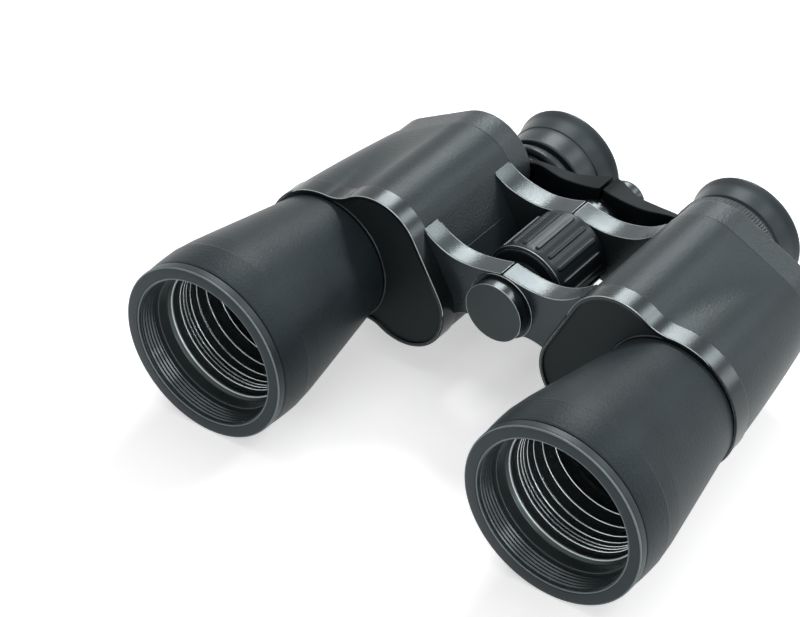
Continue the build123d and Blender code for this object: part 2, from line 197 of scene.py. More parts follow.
def straight(start: np.ndarray, end: np.ndarray, count: int) -> np.ndarray:
    """Returns `count` evenly spaced points from start towards end, without end."""
    t = (np.arange(count) / count)[:, None]
    return np.asarray(start) * (1 - t) + np.asarray(end) * t


@dataclass(frozen=True)
class Circle:
    """Circle in the (x, z) plane.

    Args:
        centre: its centre.
        radius: its radius.
    """

    centre: np.ndarray
    radius: float

    def arc(self, start: np.ndarray, end: np.ndarray, clockwise: bool, count: int) -> np.ndarray:
        """Points from start to end, evenly spaced in angle, without the last one.

        Args:
            start: first point.
            end: point where the next line starts.
            clockwise: direction of travel.
            count: number of points.

        Returns:
            (count, 2) array: centre + radius (cos a, sin a).
        """
        a, b = (math.atan2(*(p - self.centre)[::-1]) for p in (start, end))
        turn = (b - a) % (2 * math.pi) - (2 * math.pi if clockwise else 0.0)
        at = a + turn * np.arange(count) / count
        return self.centre + self.radius * np.stack([np.cos(at), np.sin(at)], axis=1)

    def facing(self, other: "Circle") -> np.ndarray:
        """Returns the point of this circle on the way to another one's centre."""
        return self.centre + unit(other.centre - self.centre) * self.radius

    def blend(self, other: "Circle", radius: float, upper: bool) -> "Circle":
        """Circle that touches this one and another from outside.

        Args:
            other: the other circle.
            radius: radius of the blend.
            upper: True for the one with the larger z of the two that fit.

        Returns:
            The blend.
        """
        d, reach = float(np.linalg.norm(other.centre - self.centre)), self.radius + radius
        u = (other.centre - self.centre) / d
        along = (reach ** 2 - (other.radius + radius) ** 2 + d * d) / (2 * d)
        across = np.array([-u[1], u[0]]) * (1 if (u[0] > 0) == upper else -1)
        return Circle(self.centre + along * u + math.sqrt(reach ** 2 - along ** 2) * across, radius)

    def tangent(self, other: "Circle") -> tuple[np.ndarray, np.ndarray]:
        """Where the outer tangent on the left of the way to another circle touches both.

        The touching radii make an angle with the line of centres whose cosine is k = (r1 - r2) / distance.

        Args:
            other: the other circle.

        Returns:
            The two touching points.
        """
        u = unit(other.centre - self.centre)
        k = (self.radius - other.radius) / float(np.linalg.norm(other.centre - self.centre))
        across = math.sqrt(1 - k * k)
        m = np.array([k * u[0] - across * u[1], k * u[1] + across * u[0]])
        return self.centre + self.radius * m, other.centre + other.radius * m


def inset(outline: np.ndarray, distance: float | np.ndarray) -> np.ndarray:
    """Moves each point of a closed outline inwards, along the mean of its two sides' normals.

    Args:
        outline: (n, 2) closed outline.
        distance: how far, in mm, one number or an (n, 1) array.

    Returns:
        The outline, that much smaller.
    """
    nxt = np.roll(outline, -1, axis=0)
    area = float(np.sum(outline[:, 0] * nxt[:, 1] - nxt[:, 0] * outline[:, 1]))
    side = unit(nxt - outline)
    normal = np.stack([-side[:, 1], side[:, 0]], axis=1) * math.copysign(1.0, area)
    return outline + unit(normal + np.roll(normal, 1, axis=0)) * distance


def at_height(flat: np.ndarray, y: float | np.ndarray) -> np.ndarray:
    """Returns (..., 2) points (x, z) stood up at y, one number or one for each point."""
    return np.stack([flat[..., 0], np.broadcast_to(y, flat.shape[:-1]), flat[..., 1]], axis=-1)


def edge_rows(start: float, end: float, radius: float, steps: int) -> tuple[np.ndarray, np.ndarray]:
    """Stations and insets of a plate whose two rims are rounded with quarter circles.

    Over each rim the inset is R (1 - sin t) and the station R (1 - cos t) from the face, t from 0 to 90 degrees.

    Args:
        start: y of the first face.
        end: y of the last face.
        radius: R.
        steps: rows on each rim.

    Returns:
        The stations and the insets, one for each row.
    """
    t = np.linspace(0, math.pi / 2, steps)
    into, deep = radius * (1 - np.sin(t)), radius * (1 - np.cos(t))
    return np.concatenate([start + deep, (end - deep)[::-1]]), np.concatenate([into, into[::-1]])


def bead(path: np.ndarray, radius: float, closed: bool, sides: int) -> np.ndarray:
    """Thin round bead along a path.

    Round each point p it has p + R (u cos t + v sin t), with u across the path and the y axis (the x axis where the
    path runs along y) and v across both. An open bead ends in two points.

    Args:
        path: (n, 3) points in mm.
        radius: R.
        closed: True where the path ends where it starts.
        sides: points round the bead.

    Returns:
        A grid of points; its rows run along the path.
    """
    along = unit(np.roll(path, -1, axis=0) - np.roll(path, 1, axis=0) if closed else np.gradient(path, axis=0))
    axis = np.where(np.abs(along[:, 1:2]) > 0.7, [[1.0, 0.0, 0.0]], [[0.0, 1.0, 0.0]])
    u = unit(np.cross(along, axis))[:, None, :]
    v = np.cross(along[:, None, :], u)
    t = angles(sides)[None, :, None]
    grid = path[:, None, :] + radius * (u * np.cos(t) + v * np.sin(t))
    if closed:
        return grid
    first, last = (np.repeat(p[None, None, :], sides, axis=1) for p in (path[0], path[-1]))
    return np.concatenate([first, grid, last])


def filled(outline: np.ndarray, spacing: float) -> tuple[np.ndarray, np.ndarray]:
    """Fills a closed outline with triangles on a square net of points.

    Net points count as inside where a ray towards +x crosses the outline an odd number of times, and are kept
    half a spacing away from it.

    Args:
        outline: (n, 2) closed outline.
        spacing: distance between net points.

    Returns:
        The net points, and triangles that index the outline first and then the net points.
    """
    low, high = outline.min(axis=0), outline.max(axis=0)
    net = np.stack(np.meshgrid(*(np.arange(a, b, spacing) for a, b in zip(low, high)), indexing="ij"), axis=-1)
    net = net.reshape(-1, 2)
    a, b = outline, np.roll(outline, -1, axis=0)
    x, z = net[:, :1], net[:, 1:]
    spans = (a[:, 1] > z) != (b[:, 1] > z)
    with np.errstate(divide="ignore", invalid="ignore"):
        crossing = a[:, 0] + (z - a[:, 1]) / (b[:, 1] - a[:, 1]) * (b[:, 0] - a[:, 0])
    inside = (spans & (x < crossing)).sum(axis=1) % 2 == 1
    away = np.linalg.norm(net[:, None, :] - outline[None, :, :], axis=2).min(axis=1) > spacing / 2
    net = net[inside & away]
    points = [Vector(p) for p in np.vstack([outline, net]).tolist()]
    found = delaunay_2d_cdt(points, [], [list(range(len(outline)))], 1, 1e-6)
    origin = np.array([v[0] for v in found[3]])
    return net, origin[np.array(found[2])]


def grid_mesh(grids: Sequence[np.ndarray], wrap_v: bool, caps: bool = False) -> tuple[np.ndarray, list[list[int]]]:
    """Points and faces of grids whose columns close into rings.

    Args:
        grids: (m, n, 3) points in mm; row i runs along v, column j along u.
        wrap_v: joins each last row to the first.
        caps: closes the first and the last row with one flat face each.

    Returns:
        The points, (k, 3), and the faces as lists of point numbers.
    """
    faces, start = [], 0
    for grid in grids:
        m, n = grid.shape[:2]
        i, j = np.arange(m if wrap_v else m - 1)[:, None], np.arange(n)[None, :]
        ni, nj = (i + 1) % m, (j + 1) % n
        quads = np.stack([i * n + j, ni * n + j, ni * n + nj, i * n + nj], axis=-1).reshape(-1, 4)
        faces += (quads + start).tolist()
        start += m * n
    if caps:
        faces += [list(range(n)), list(range(start - 1, start - n - 1, -1))]
    return np.concatenate([grid.reshape(-1, 3) for grid in grids]), faces


# --- finishes
class Nodes:
    """Short ways to add to the node tree of a material or a world."""

    def __init__(self, owner: bpy.types.Material | bpy.types.World, shader: str = "Principled BSDF") -> None:
        """Turns the nodes of a material or a world on and finds the shader of that name."""
        owner.use_nodes = True
        self.tree, self.shader = owner.node_tree, owner.node_tree.nodes[shader]

    def fill(self, node: bpy.types.Node, inputs: dict) -> None:
        """Sets or links inputs of a node.

        Args:
            node: the node.
            inputs: for the name or number of each input, a value or the output that it is linked to.
        """
        for key, value in inputs.items():
            if isinstance(value, bpy.types.NodeSocket):
                self.tree.links.new(value, node.inputs[key])
            else:
                node.inputs[key].default_value = value

    def add(self, kind: str, output: str, inputs: Optional[dict] = None, operation: str = "") -> bpy.types.NodeSocket:
        """Adds a node.

        Args:
            kind: type of the node, without its prefix.
            output: name of the output to return.
            inputs: its inputs, as in `fill`.
            operation: its operation, where it has one.

        Returns:
            That output.
        """
        node = self.tree.nodes.new(f"ShaderNode{kind}")
        if operation:
            node.operation = operation
        self.fill(node, inputs or {})
        return node.outputs[output]

    def ramp(self, share: bpy.types.NodeSocket, colour: Triple, spread: float, ends: Pair) -> bpy.types.NodeSocket:
        """Adds a ramp from a darker to a lighter shade of a colour.

        Args:
            share: what the ramp follows.
            colour: linear colour of its middle.
            spread: how much darker and lighter its ends are, 0 to 1.
            ends: where it starts and ends.

        Returns:
            Its colour output.
        """
        shades = self.add("ValToRGB", "Color", {"Fac": share})
        for stop, place, scale in zip(shades.node.color_ramp.elements, ends, (1 - spread, 1 + spread)):
            stop.position, stop.color = place, (*[c * scale for c in colour], 1)
        return shades

    def seen(self) -> bpy.types.NodeSocket:
        """Returns an output that is 1 for camera, glossy and transmission rays."""
        rays = self.add("LightPath", "Is Camera Ray").node.outputs
        first = self.add("Math", "Value", {0: rays["Is Camera Ray"], 1: rays["Is Glossy Ray"]}, "MAXIMUM")
        return self.add("Math", "Value", {0: first, 1: rays["Is Transmission Ray"]}, "MAXIMUM")


@dataclass(frozen=True)
class Finish:
    """A painted, moulded or metal finish with a fine relief.

    Args:
        name: name of the material.
        colour: linear base colour.
        roughness: mean roughness.
        metallic: 1 for bare metal.
        specular: specular level of the shader.
        grain_mm: size of the grain, in mm.
        relief: height of the grain, in mm.
        mottle: how much the colour changes from place to place, 0 to 1.
        sheen: colour of the reflection.
    """

    name: str
    colour: Triple
    roughness: float
    metallic: float = 0.0
    specular: float = 0.5
    grain_mm: float = 0.3
    relief: float = 0.003
    mottle: float = 0.1
    sheen: Triple = (0.80, 0.96, 1.0)

    @cache
    def make(self) -> bpy.types.Material:
        """Returns the material, made on first use: colour, roughness and relief follow a cloud and a grain."""
        material = bpy.data.materials.new(self.name)
        tree = Nodes(material)
        place = tree.add("TexCoord", "Object")
        grain = tree.add("TexNoise", "Fac", {"Vector": place, "Scale": MM / self.grain_mm, "Detail": 2.0})
        cloud = tree.add("TexNoise", "Fac", {"Vector": place, "Scale": CLOUD, "Detail": 3.0})
        half_cloud = tree.add("Math", "Value", {0: cloud, 1: 0.5}, "MULTIPLY")
        both = tree.add("Math", "Value", {0: grain, 1: 0.5, 2: half_cloud}, "MULTIPLY_ADD")
        span = {"Value": cloud, "To Min": self.roughness * (1 - WANDER), "To Max": self.roughness * (1 + WANDER)}
        height = {"Strength": 1.0, "Distance": self.relief / MM, "Height": grain}
        tree.fill(tree.shader, {
            "Metallic": self.metallic, "Specular IOR Level": self.specular, "Specular Tint": (*self.sheen, 1.0),
            "Base Color": tree.ramp(both, self.colour, self.mottle, (0.3, 0.7)),
            "Roughness": tree.add("MapRange", "Result", span), "Normal": tree.add("Bump", "Normal", height)})
        return material


@dataclass(frozen=True)
class GlassFinish:
    """Coated optical glass, seen through with a faint reflection.

    Args:
        name: name of the material.
        tint: colour of the coating's reflection.
        opacity: share of light that the coating holds back.
        mirror: strength of its mirror reflection, low as the glass is coated.
    """

    name: str
    tint: Triple
    opacity: float
    mirror: float = 0.1

    @cache
    def make(self) -> bpy.types.Material:
        """Returns the material, made on first use."""
        material = bpy.data.materials.new(self.name)
        tree = Nodes(material)
        dust = tree.add("TexNoise", "Fac", {"Vector": tree.add("TexCoord", "Object"), "Scale": 60.0})
        tree.fill(tree.shader, {"Base Color": tree.ramp(dust, self.tint, 0.2, (0.0, 1.0)), "Roughness": 0.03,
                                "Specular IOR Level": self.mirror, "Alpha": self.opacity})
        return material


class Finishes:
    """The finishes of this object, in a maker's words."""

    BARREL = Finish("barrel_enamel", (0.020, 0.027, 0.030), 0.42, specular=0.14, grain_mm=0.7, relief=0.10,
                    mottle=0.25)
    HOUSING = Finish("housing_enamel", (0.020, 0.027, 0.030), 0.40, specular=0.22, grain_mm=0.7, relief=0.10,
                     mottle=0.25)
    BAND = Finish("band_lacquer", (0.008, 0.010, 0.011), 0.27, specular=0.4, grain_mm=0.9, relief=0.004)
    PLATE = Finish("plate_matte", (0.010, 0.012, 0.013), 0.55, specular=0.25, relief=0.004, mottle=0.15)
    COVER = Finish("cover_enamel", (0.026, 0.032, 0.035), 0.40, specular=0.3, grain_mm=0.8, relief=0.16, mottle=0.2)
    RIM = Finish("rim_moulding", (0.018, 0.023, 0.026), 0.42, specular=0.3, relief=0.005)
    THREAD = Finish("cut_thread", (0.075, 0.084, 0.088), 0.2, metallic=0.5, specular=0.8, relief=0.002)
    SEAT = Finish("lens_seat_satin", (0.038, 0.045, 0.047), 0.28, specular=0.6, relief=0.002)
    INNER = Finish("stray_light_black", (0.040, 0.045, 0.047), 0.6, specular=0.0, grain_mm=0.8, relief=0.0006,
                   mottle=0.15)
    # Near-white metal for beads on the ridges' crests: a painted highlight.
    CREST = Finish("worn_crest", (0.88, 0.95, 0.97), 0.24, metallic=1.0, specular=0.8, grain_mm=0.4, relief=0.001,
                   mottle=0.15, sheen=(1.0, 1.0, 1.0))
    BRIDGE = Finish("bridge_satin", (0.022, 0.028, 0.031), 0.27, grain_mm=0.35, relief=0.018, mottle=0.3)
    OCULAR = Finish("ocular_satin", (0.004, 0.0055, 0.0065), 0.46, specular=0.08, mottle=0.12)
    WHEEL = Finish("wheel_moulded", (0.008, 0.010, 0.012), 0.34, specular=0.2, grain_mm=0.25, mottle=0.12)
    DIOPTRE = Finish("dioptre_moulded", (0.016, 0.019, 0.021), 0.4, specular=0.4, grain_mm=0.25, mottle=0.12)
    CAP = Finish("cap_satin", (0.008, 0.011, 0.013), 0.28, relief=0.004)
    CUP = Finish("eyecup_soft_moulding", (0.018, 0.023, 0.026), 0.38, specular=0.3, grain_mm=0.4)
    SLIDING = Finish("sliding_black_finish", (0.010, 0.012, 0.013), 0.25, grain_mm=0.6, relief=0.0015)
    SCREW = Finish("screw_black_oxide", (0.03, 0.032, 0.034), 0.32, metallic=0.7, relief=0.002, mottle=0.15)
    STEEL = Finish("ground_steel", (0.45, 0.45, 0.44), 0.3, metallic=1.0, grain_mm=0.4)
    BRASS = Finish("turned_brass", (0.55, 0.38, 0.15), 0.28, metallic=1.0, grain_mm=0.4)
    # Bright metal for beads along painted edges: a painted highlight where the edges catch the light.
    EDGE = Finish("rubbed_edge", (0.42, 0.46, 0.47), 0.3, metallic=1.0, grain_mm=0.8, relief=0.004, mottle=0.3)
    # Bright metal for the bead on the lens seat's edge: a painted highlight.
    SEAT_EDGE = Finish("seat_edge_satin", (0.62, 0.68, 0.68), 0.36, metallic=0.7, specular=0.6, grain_mm=0.5,
                       relief=0.004, mottle=0.15)
    # Bright metal for the beads on the rim's inner and outer edge: a painted highlight.
    RIM_EDGE = Finish("rim_edge_satin", (0.14, 0.165, 0.17), 0.36, metallic=0.6, grain_mm=0.5, relief=0.004,
                      mottle=0.15)
    LENS = GlassFinish("coated_lens", (0.02, 0.05, 0.045), 0.02)
    PRISM = GlassFinish("prism_glass_finish", (0.5, 0.55, 0.55), 0.2)


AnyFinish = Finish | GlassFinish
CAD_FINISHES: dict[str, AnyFinish] = {name: finish for finish, names in (
    (Finishes.RIM, "objective_rim"), (Finishes.BARREL, "objective_barrel"), (Finishes.HOUSING, "prism_housing"),
    (Finishes.INNER, "retaining_ring lens_cell baffle_tube prism_shelf eye_barrel eye_lens_ring"),
    (Finishes.LENS, "objective_crown objective_flint field_lens eye_lens"),
    (Finishes.BAND, "front_band collar_ring front_washer rear_hinge_sleeve"),
    (Finishes.PRISM, "front_prism rear_prism"), (Finishes.STEEL, "front_prism_strap rear_prism_strap hinge_pin"),
    (Finishes.SLIDING, "rear_cover_screws eyepiece_guide eyepiece_tube ocular_washer"),
    (Finishes.COVER, "rear_cover"), (Finishes.CUP, "eyecup"), (Finishes.WHEEL, "diopter_ring focus_wheel"),
    (Finishes.CAP, "hinge_cap ocular_end_cap"), (Finishes.BRASS, "focus_spindle"), (Finishes.BRIDGE, "ocular_arm"),
) for name in names.split()}


def dress_cad_nodes() -> None:
    """Gives every CAD node its finish, also where a smooth piece stands for it."""
    for name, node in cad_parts.items():
        finish = CAD_FINISHES[name.removeprefix("left_").removeprefix("right_")]
        for slot in range(max(1, len(node.data.materials))):
            if len(node.data.materials) <= slot:
                node.data.materials.append(finish.make())
            node.data.materials[slot] = finish.make()


# --- making pieces
@dataclass(frozen=True)
class Maker:
    """Makes and dresses the pieces of one sub-assembly.

    Args:
        half: the half that it belongs to, or None for the centre column.
        axis: usual turning axis, (x, z) in mm.
        segments: usual number of angles of a turned piece.
    """

    half: Optional[Half]
    axis: ClassVar[Pair] = (0.0, 0.0)
    segments: ClassVar[int] = 144

    @property
    def body(self) -> str:
        """Usual CAD body."""
        return self.half.body

    def name(self, part: str) -> str:
        """Returns the part's name with its side."""
        return f"{self.half.label}_{part}" if self.half else part

    def piece(self, part: str, points: np.ndarray, faces: list[list[int]], finish: AnyFinish, *replaced: str,
              crease: float = CREASE, body: Optional[str] = None) -> None:
        """Makes one piece at the origin, with doubled points merged and its normals outwards.

        Args:
            part: its name without its side.
            points: (k, 3) array in mm.
            faces: lists of point numbers.
            finish: its finish.
            replaced: CAD nodes, without their side, that it stands for.
            crease: edges sharper than this many degrees stay sharp.
            body: CAD body that it rides on, where it isn't the usual one.
        """
        mesh = bpy.data.meshes.new(self.name(part))
        mesh.from_pydata(LAYOUT.to_frame(points, self.half), [], faces)
        bm = bmesh.new()
        bm.from_mesh(mesh)
        bmesh.ops.remove_doubles(bm, verts=bm.verts, dist=MERGE)
        bmesh.ops.dissolve_degenerate(bm, edges=bm.edges, dist=1e-7)
        bmesh.ops.recalc_face_normals(bm, faces=bm.faces)
        bm.to_mesh(mesh)
        bm.free()
        mesh.polygons.foreach_set("use_smooth", np.ones(len(mesh.polygons), bool))
        mesh.set_sharp_from_angle(angle=math.radians(crease))
        mesh.materials.append(finish.make())
        piece = bpy.data.objects.new(self.name(part), mesh)
        bpy.context.scene.collection.objects.link(piece)
        piece.modifiers.new("flat_faces_stay_flat", "WEIGHTED_NORMAL").keep_sharp = True
        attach(piece, body or self.body)
        if replaced:
            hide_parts(*map(self.name, replaced))
        LOG.info("%s: %d faces, %s", piece.name, len(mesh.polygons), finish.name)

    def turned(self, part: str, profile: np.ndarray, finish: AnyFinish, *replaced: str, axis: Optional[Pair] = None,
               segments: int = 0, closed: bool = True, **how: float | str) -> None:
        """Turned piece: point (r, y) goes to (x0 + r cos a, y, z0 + r sin a) for every angle a.

        Args:
            part: its name without its side.
            profile: (n, 2) radius and y in mm, or (n, segments, 2) where they change round the piece.
            finish: its finish.
            replaced: CAD nodes, without their side, that it stands for.
            axis: (x0, z0), where it isn't the usual one.
            segments: number of angles, where it isn't the usual one.
            closed: joins the profile's end to its start, as on a ring; otherwise both ends lie on the axis.
            how: crease and body, as in `piece`.
        """
        a = angles(segments or self.segments)
        if profile.ndim == 2:
            profile = profile[:, None, :].repeat(len(a), axis=1)
        (x, z), (r, y) = axis or self.axis, (profile[..., 0], profile[..., 1])
        grid = np.stack([x + r * np.cos(a), y, z + r * np.sin(a)], axis=-1)
        self.piece(part, *grid_mesh([grid], closed), finish, *replaced, **how)

    def lofted(self, part: str, outlines: Sequence[np.ndarray], stations: Sequence[float], finish: AnyFinish,
               *replaced: str, hollow: bool = False) -> None:
        """Lofted piece, closed with flat faces or, where hollow, into itself: outline i is stood up at station i."""
        grid = np.stack([at_height(outline, y) for outline, y in zip(outlines, stations)])
        self.piece(part, *grid_mesh([grid], hollow, not hollow), finish, *replaced)

    def beaded(self, part: str, beads: Sequence[tuple[np.ndarray, float]], finish: AnyFinish, closed: bool = True,
               sides: int = 8) -> None:
        """Makes one piece of thin round beads, from the path and the radius of each."""
        self.piece(part, *grid_mesh([bead(path, radius, closed, sides) for path, radius in beads], closed), finish)


# --- objective
@dataclass(frozen=True)
class Objective(Maker):
    """Rim, flared barrel and everything inside them, for one half. Radii and y in mm.

    Args:
        cell_ridges: (r, y) of the stray-light ridges in the lens cell.
        rim_radius: outside of the rim.
        mouth_radius: crest of the filter thread.
        thread_span: y of both ends of the filter thread.
        thread_pitch: pitch of the filter thread.
        thread_depth: depth of the filter thread.
        ridges: y of the stray-light ridges behind the lens.
        first_ridge_radius: crest of the first ridge.
        ridge_taper: fall of the crest radius for each mm of y.
        worn_ridges: number of ridges, from the front, whose crest carries a bright bead, a painted highlight.
    """

    cell_ridges: Line = ((21.5, 15.65), (21.45, 17.1), (21.4, 18.35), (21.1, 19.85))
    rim_radius: float = 29.0
    mouth_radius: float = 24.1
    thread_span: Pair = (0.85, 7.5)
    thread_pitch: float = 1.2
    thread_depth: float = 0.32
    ridges: tuple[float, ...] = (22.7, 26.4, 31.0, 35.5, 40.0, 44.5, 49.0)
    first_ridge_radius: float = 20.9
    ridge_taper: float = 0.145
    worn_ridges: int = 3
    axis: ClassVar[Pair] = LAYOUT.objective
    segments: ClassVar[int] = 160

    def build(self) -> None:
        """Builds every piece of this objective."""
        self.build_rim()
        self.build_thread()
        self.build_barrel()
        self.build_lens_seat()
        self.build_baffle()

    def ring_beads(self, part: str, rings: Sequence[Triple], finish: Finish, sides: int = 8) -> None:
        """Makes beads round the axis, from the radius and y of each path and the bead's own radius."""
        self.beaded(part, [(circle(self.axis, r, y), own) for r, y, own in rings], finish, sides=sides)

    def build_rim(self) -> None:
        """Rim ring: flat front face, soft inner edge, bevel outside and the neck that carries the thread."""
        r, mouth, neck = self.rim_radius, self.mouth_radius + self.thread_depth + 0.12, 25.3
        outer = rounded([(r - 0.6, 0.05), (r, 0.7), (r, 3.0), (r - 0.4, 3.22)], 0.25, closed=False)
        inner = rounded([(neck, 3.2), (neck, 7.55), (mouth, 7.55), (mouth, 1.05), (mouth + 0.75, 0.05)], 0.3,
                        closed=False)
        self.turned("rim_shell", np.vstack([outer, inner]), Finishes.RIM, "objective_rim", crease=50)
        # Bright beads on the rim's inner and outer edge: a painted highlight.
        self.ring_beads("rim_lip", [(mouth + 0.42, 0.5, 0.3), (r - 0.38, 0.5, 0.34)], Finishes.RIM_EDGE, 12)

    def build_thread(self) -> None:
        """Filter thread: r = mouth + depth (1 - fade 2 |phase - 1/2|), phase = (y - pitch a / 2 pi) / pitch mod 1."""
        (start, end), rows = self.thread_span, 84
        a, y = angles(self.segments)[None, :], np.linspace(*self.thread_span, rows)[:, None]
        phase = (y - self.thread_pitch * a / (2 * math.pi)) / self.thread_pitch
        groove = 2 * np.abs(phase % 1.0 - 0.5)
        fade = smooth_step((y - start - 0.05) / 0.8) * smooth_step((end - 0.2 - y) / 0.5)
        r = self.mouth_radius + self.thread_depth * (1 - groove * fade)
        face = np.stack([r, np.broadcast_to(y, r.shape)], axis=-1)
        back = np.array([(self.mouth_radius + 0.9, end), (self.mouth_radius + 0.9, start)])
        profile = np.concatenate([face, back[:, None, :].repeat(self.segments, axis=1)])
        self.turned("filter_thread", profile, Finishes.THREAD, crease=70)

    def build_barrel(self) -> None:
        """Barrel: collar behind the rim, gentle crown, fine crease, straight taper, and the bore."""
        collar = [(25.45, 3.35), (28.6, 3.35), (28.85, 3.5), (28.98, 3.85)]
        crown = flowing([(29.02, 4.6), (29.18, 7), (29.27, 10), (29.28, 12), (29.27, 13.9)], 5)
        crease = [(29.27, 13.9), (29.25, 14.02), (29.19, 14.16), (29.15, 14.4)]
        taper = flowing([(29.15, 14.4), (28.66, 19.0), (27.82, 24.4), (22.2, 57.3)], 6)
        bore = [(22.2, 57.3), (22.1, 58.0), (21.85, 59.9), (21.0, 59.95), (21.0, 63.4), (19.3, 63.4), (19.3, 57.0),
                (24.45, 24.0), (24.45, 20.3), (25.45, 20.3)]
        self.turned("barrel_shell", np.vstack([collar, crown, crease, taper, bore]), Finishes.BARREL,
                    "objective_barrel")

    def build_lens_seat(self) -> None:
        """Retaining ring with a bright bead on its inner bevel, a painted highlight, the ridged cell behind the lens,
        and the lens.
        """
        ring = rounded([(23.2, 7.75), (25.25, 7.75), (25.25, 13.25), (22.0, 13.3), (22.0, 13.05), (22.5, 12.2),
                        (23.2, 11.5)], 0.35)
        self.turned("retaining_ring_shell", ring, Finishes.SEAT, "retaining_ring", crease=60)
        steps = [(r + extra, y + shift) for r, y in reversed(self.cell_ridges)
                 for extra, shift in ((0.75, 0.1), (0.06, 0.05), (0.06, -0.05), (0.75, -0.35))]
        cell = rounded([(22.95, 13.45), (25.25, 13.45), (25.25, 20.0), *steps, (22.3, 15.25), (22.95, 15.25)], 0.03, 3)
        self.turned("lens_cell_shell", cell, Finishes.INNER, "lens_cell", crease=40)
        # Bright bead on the seat's edge: a painted highlight.
        self.ring_beads("seat_edge", [(22.35, 12.75, 0.42)], Finishes.SEAT_EDGE, 12)
        glass = [(0.0, 12.9), (8.0, 12.95), (15.0, 13.15), (22.9, 13.6), (22.9, 15.05), (0.0, 15.2)]
        self.turned("doublet", rounded(glass, 0.25, closed=False), Finishes.LENS, "objective_crown",
                    "objective_flint", segments=96, closed=False)

    def build_baffle(self) -> None:
        """Ridged tube behind the lens: knife-edged ridges, the front ones with a narrow bright bead on the crest, a
        painted highlight.
        """
        crests = [(self.first_ridge_radius - self.ridge_taper * (y - self.ridges[0]), y) for y in self.ridges]
        profile = [(22.0, 20.55)]
        for r, y in crests:
            profile += [(r + 1.1, y - 0.3), (r + 0.04, y - 0.06), (r, y), (r + 0.04, y + 0.06), (r + 1.1, y + 0.7)]
        profile += [(12.6, 58.2), (12.6, 63.0), (18.95, 63.0), (18.95, 57.2), (23.35, 27.0), (23.35, 20.55)]
        self.turned("baffle_shell", np.array(profile), Finishes.INNER, "baffle_tube", crease=30)
        # Bright beads on the cell's ridges, the front crests and the rim at the tube's end: painted highlights.
        rings = [(r, y, 0.2) for r, y in self.cell_ridges] + [(r - 0.02, y, 0.27) for r, y in crests[:self.worn_ridges]]
        self.ring_beads("ridge_crests", [*rings, (12.75, 58.3, 0.5)], Finishes.CREST)


# --- prism body
@dataclass(frozen=True)
class HousingForm:
    """Outline of a prism housing at any station. Radii and y in mm.

    Args:
        sections: front, middle and rear section: y, x and z of the circle round the objective, its radius, and the
            curvature of the blend between it and the hump in 1/mm.
        hump_radius: circle round the hump axis.
        lobe_radius: circle round the eyepiece axis.
        dip_radius: blend in the dip below, between the objective circle and the eyepiece lobe.
        straightest: least curvature of the blend, in 1/mm.
    """

    sections: tuple[tuple[float, float, float, float, float], ...] = (
        (67.0, 62.2, -3.7, 22.0, 1 / 14), (88.0, 62.1, -3.2, 19.9, 1 / 34), (111.4, 62.0, -2.6, 16.8, 0.0))
    hump_radius: float = 16.5
    lobe_radius: float = 15.7
    dip_radius: float = 9.0
    straightest: float = 5e-4

    def at(self, y: float, grow: float) -> tuple[Circle, float]:
        """Objective circle and blend at a station: parabolas through the three sections, constant in front of them.

        Args:
            y: the station, in mm.
            grow: how far outside the true outline, in mm.

        Returns:
            The circle, and the radius of the blend.
        """
        table = np.array(self.sections)
        stations, own = table[:, 0], np.eye(3, dtype=bool)
        gaps = stations[:, None] - stations + own
        reach = np.where(own, 1.0, max(y, stations[0]) - stations)
        x, z, radius, bend = (reach / gaps).prod(axis=1) @ table[:, 1:]
        return Circle(np.array([x, z]), radius + grow), 1 / max(bend, self.straightest) - grow

    def inner(self, grow: float = 0.0) -> tuple[Circle, Circle]:
        """Returns the circles of the eyepiece lobe and of the hump; the straight flank lies between them."""
        return (Circle(np.array(LAYOUT.eye), self.lobe_radius + grow),
                Circle(np.array(LAYOUT.hump), self.hump_radius + grow))

    def outline(self, y: float, grow: float = 0.0) -> np.ndarray:
        """Outline at a station, grown outwards by a distance.

        Args:
            y: the station, in mm.
            grow: how far outside the true outline, in mm.

        Returns:
            (n, 2) closed outline, clockwise, with the same number of points at every station.
        """
        (o, blend), (e, h) = self.at(y, grow), self.inner(grow)
        top, low = o.blend(h, blend, True), e.blend(o, self.dip_radius - grow, False)
        (e_in, h_in), h_out, o_top = e.tangent(h), h.facing(top), o.facing(top)
        e_out, o_low = e.facing(low), o.facing(low)
        return np.vstack([
            o.arc(o_top, o_low, True, 72), low.arc(o_low, e_out, False, 20), e.arc(e_out, e_in, True, 48),
            straight(e_in, h_in, 14), h.arc(h_in, h_out, True, 40), top.arc(h_out, o_top, False, 22)])


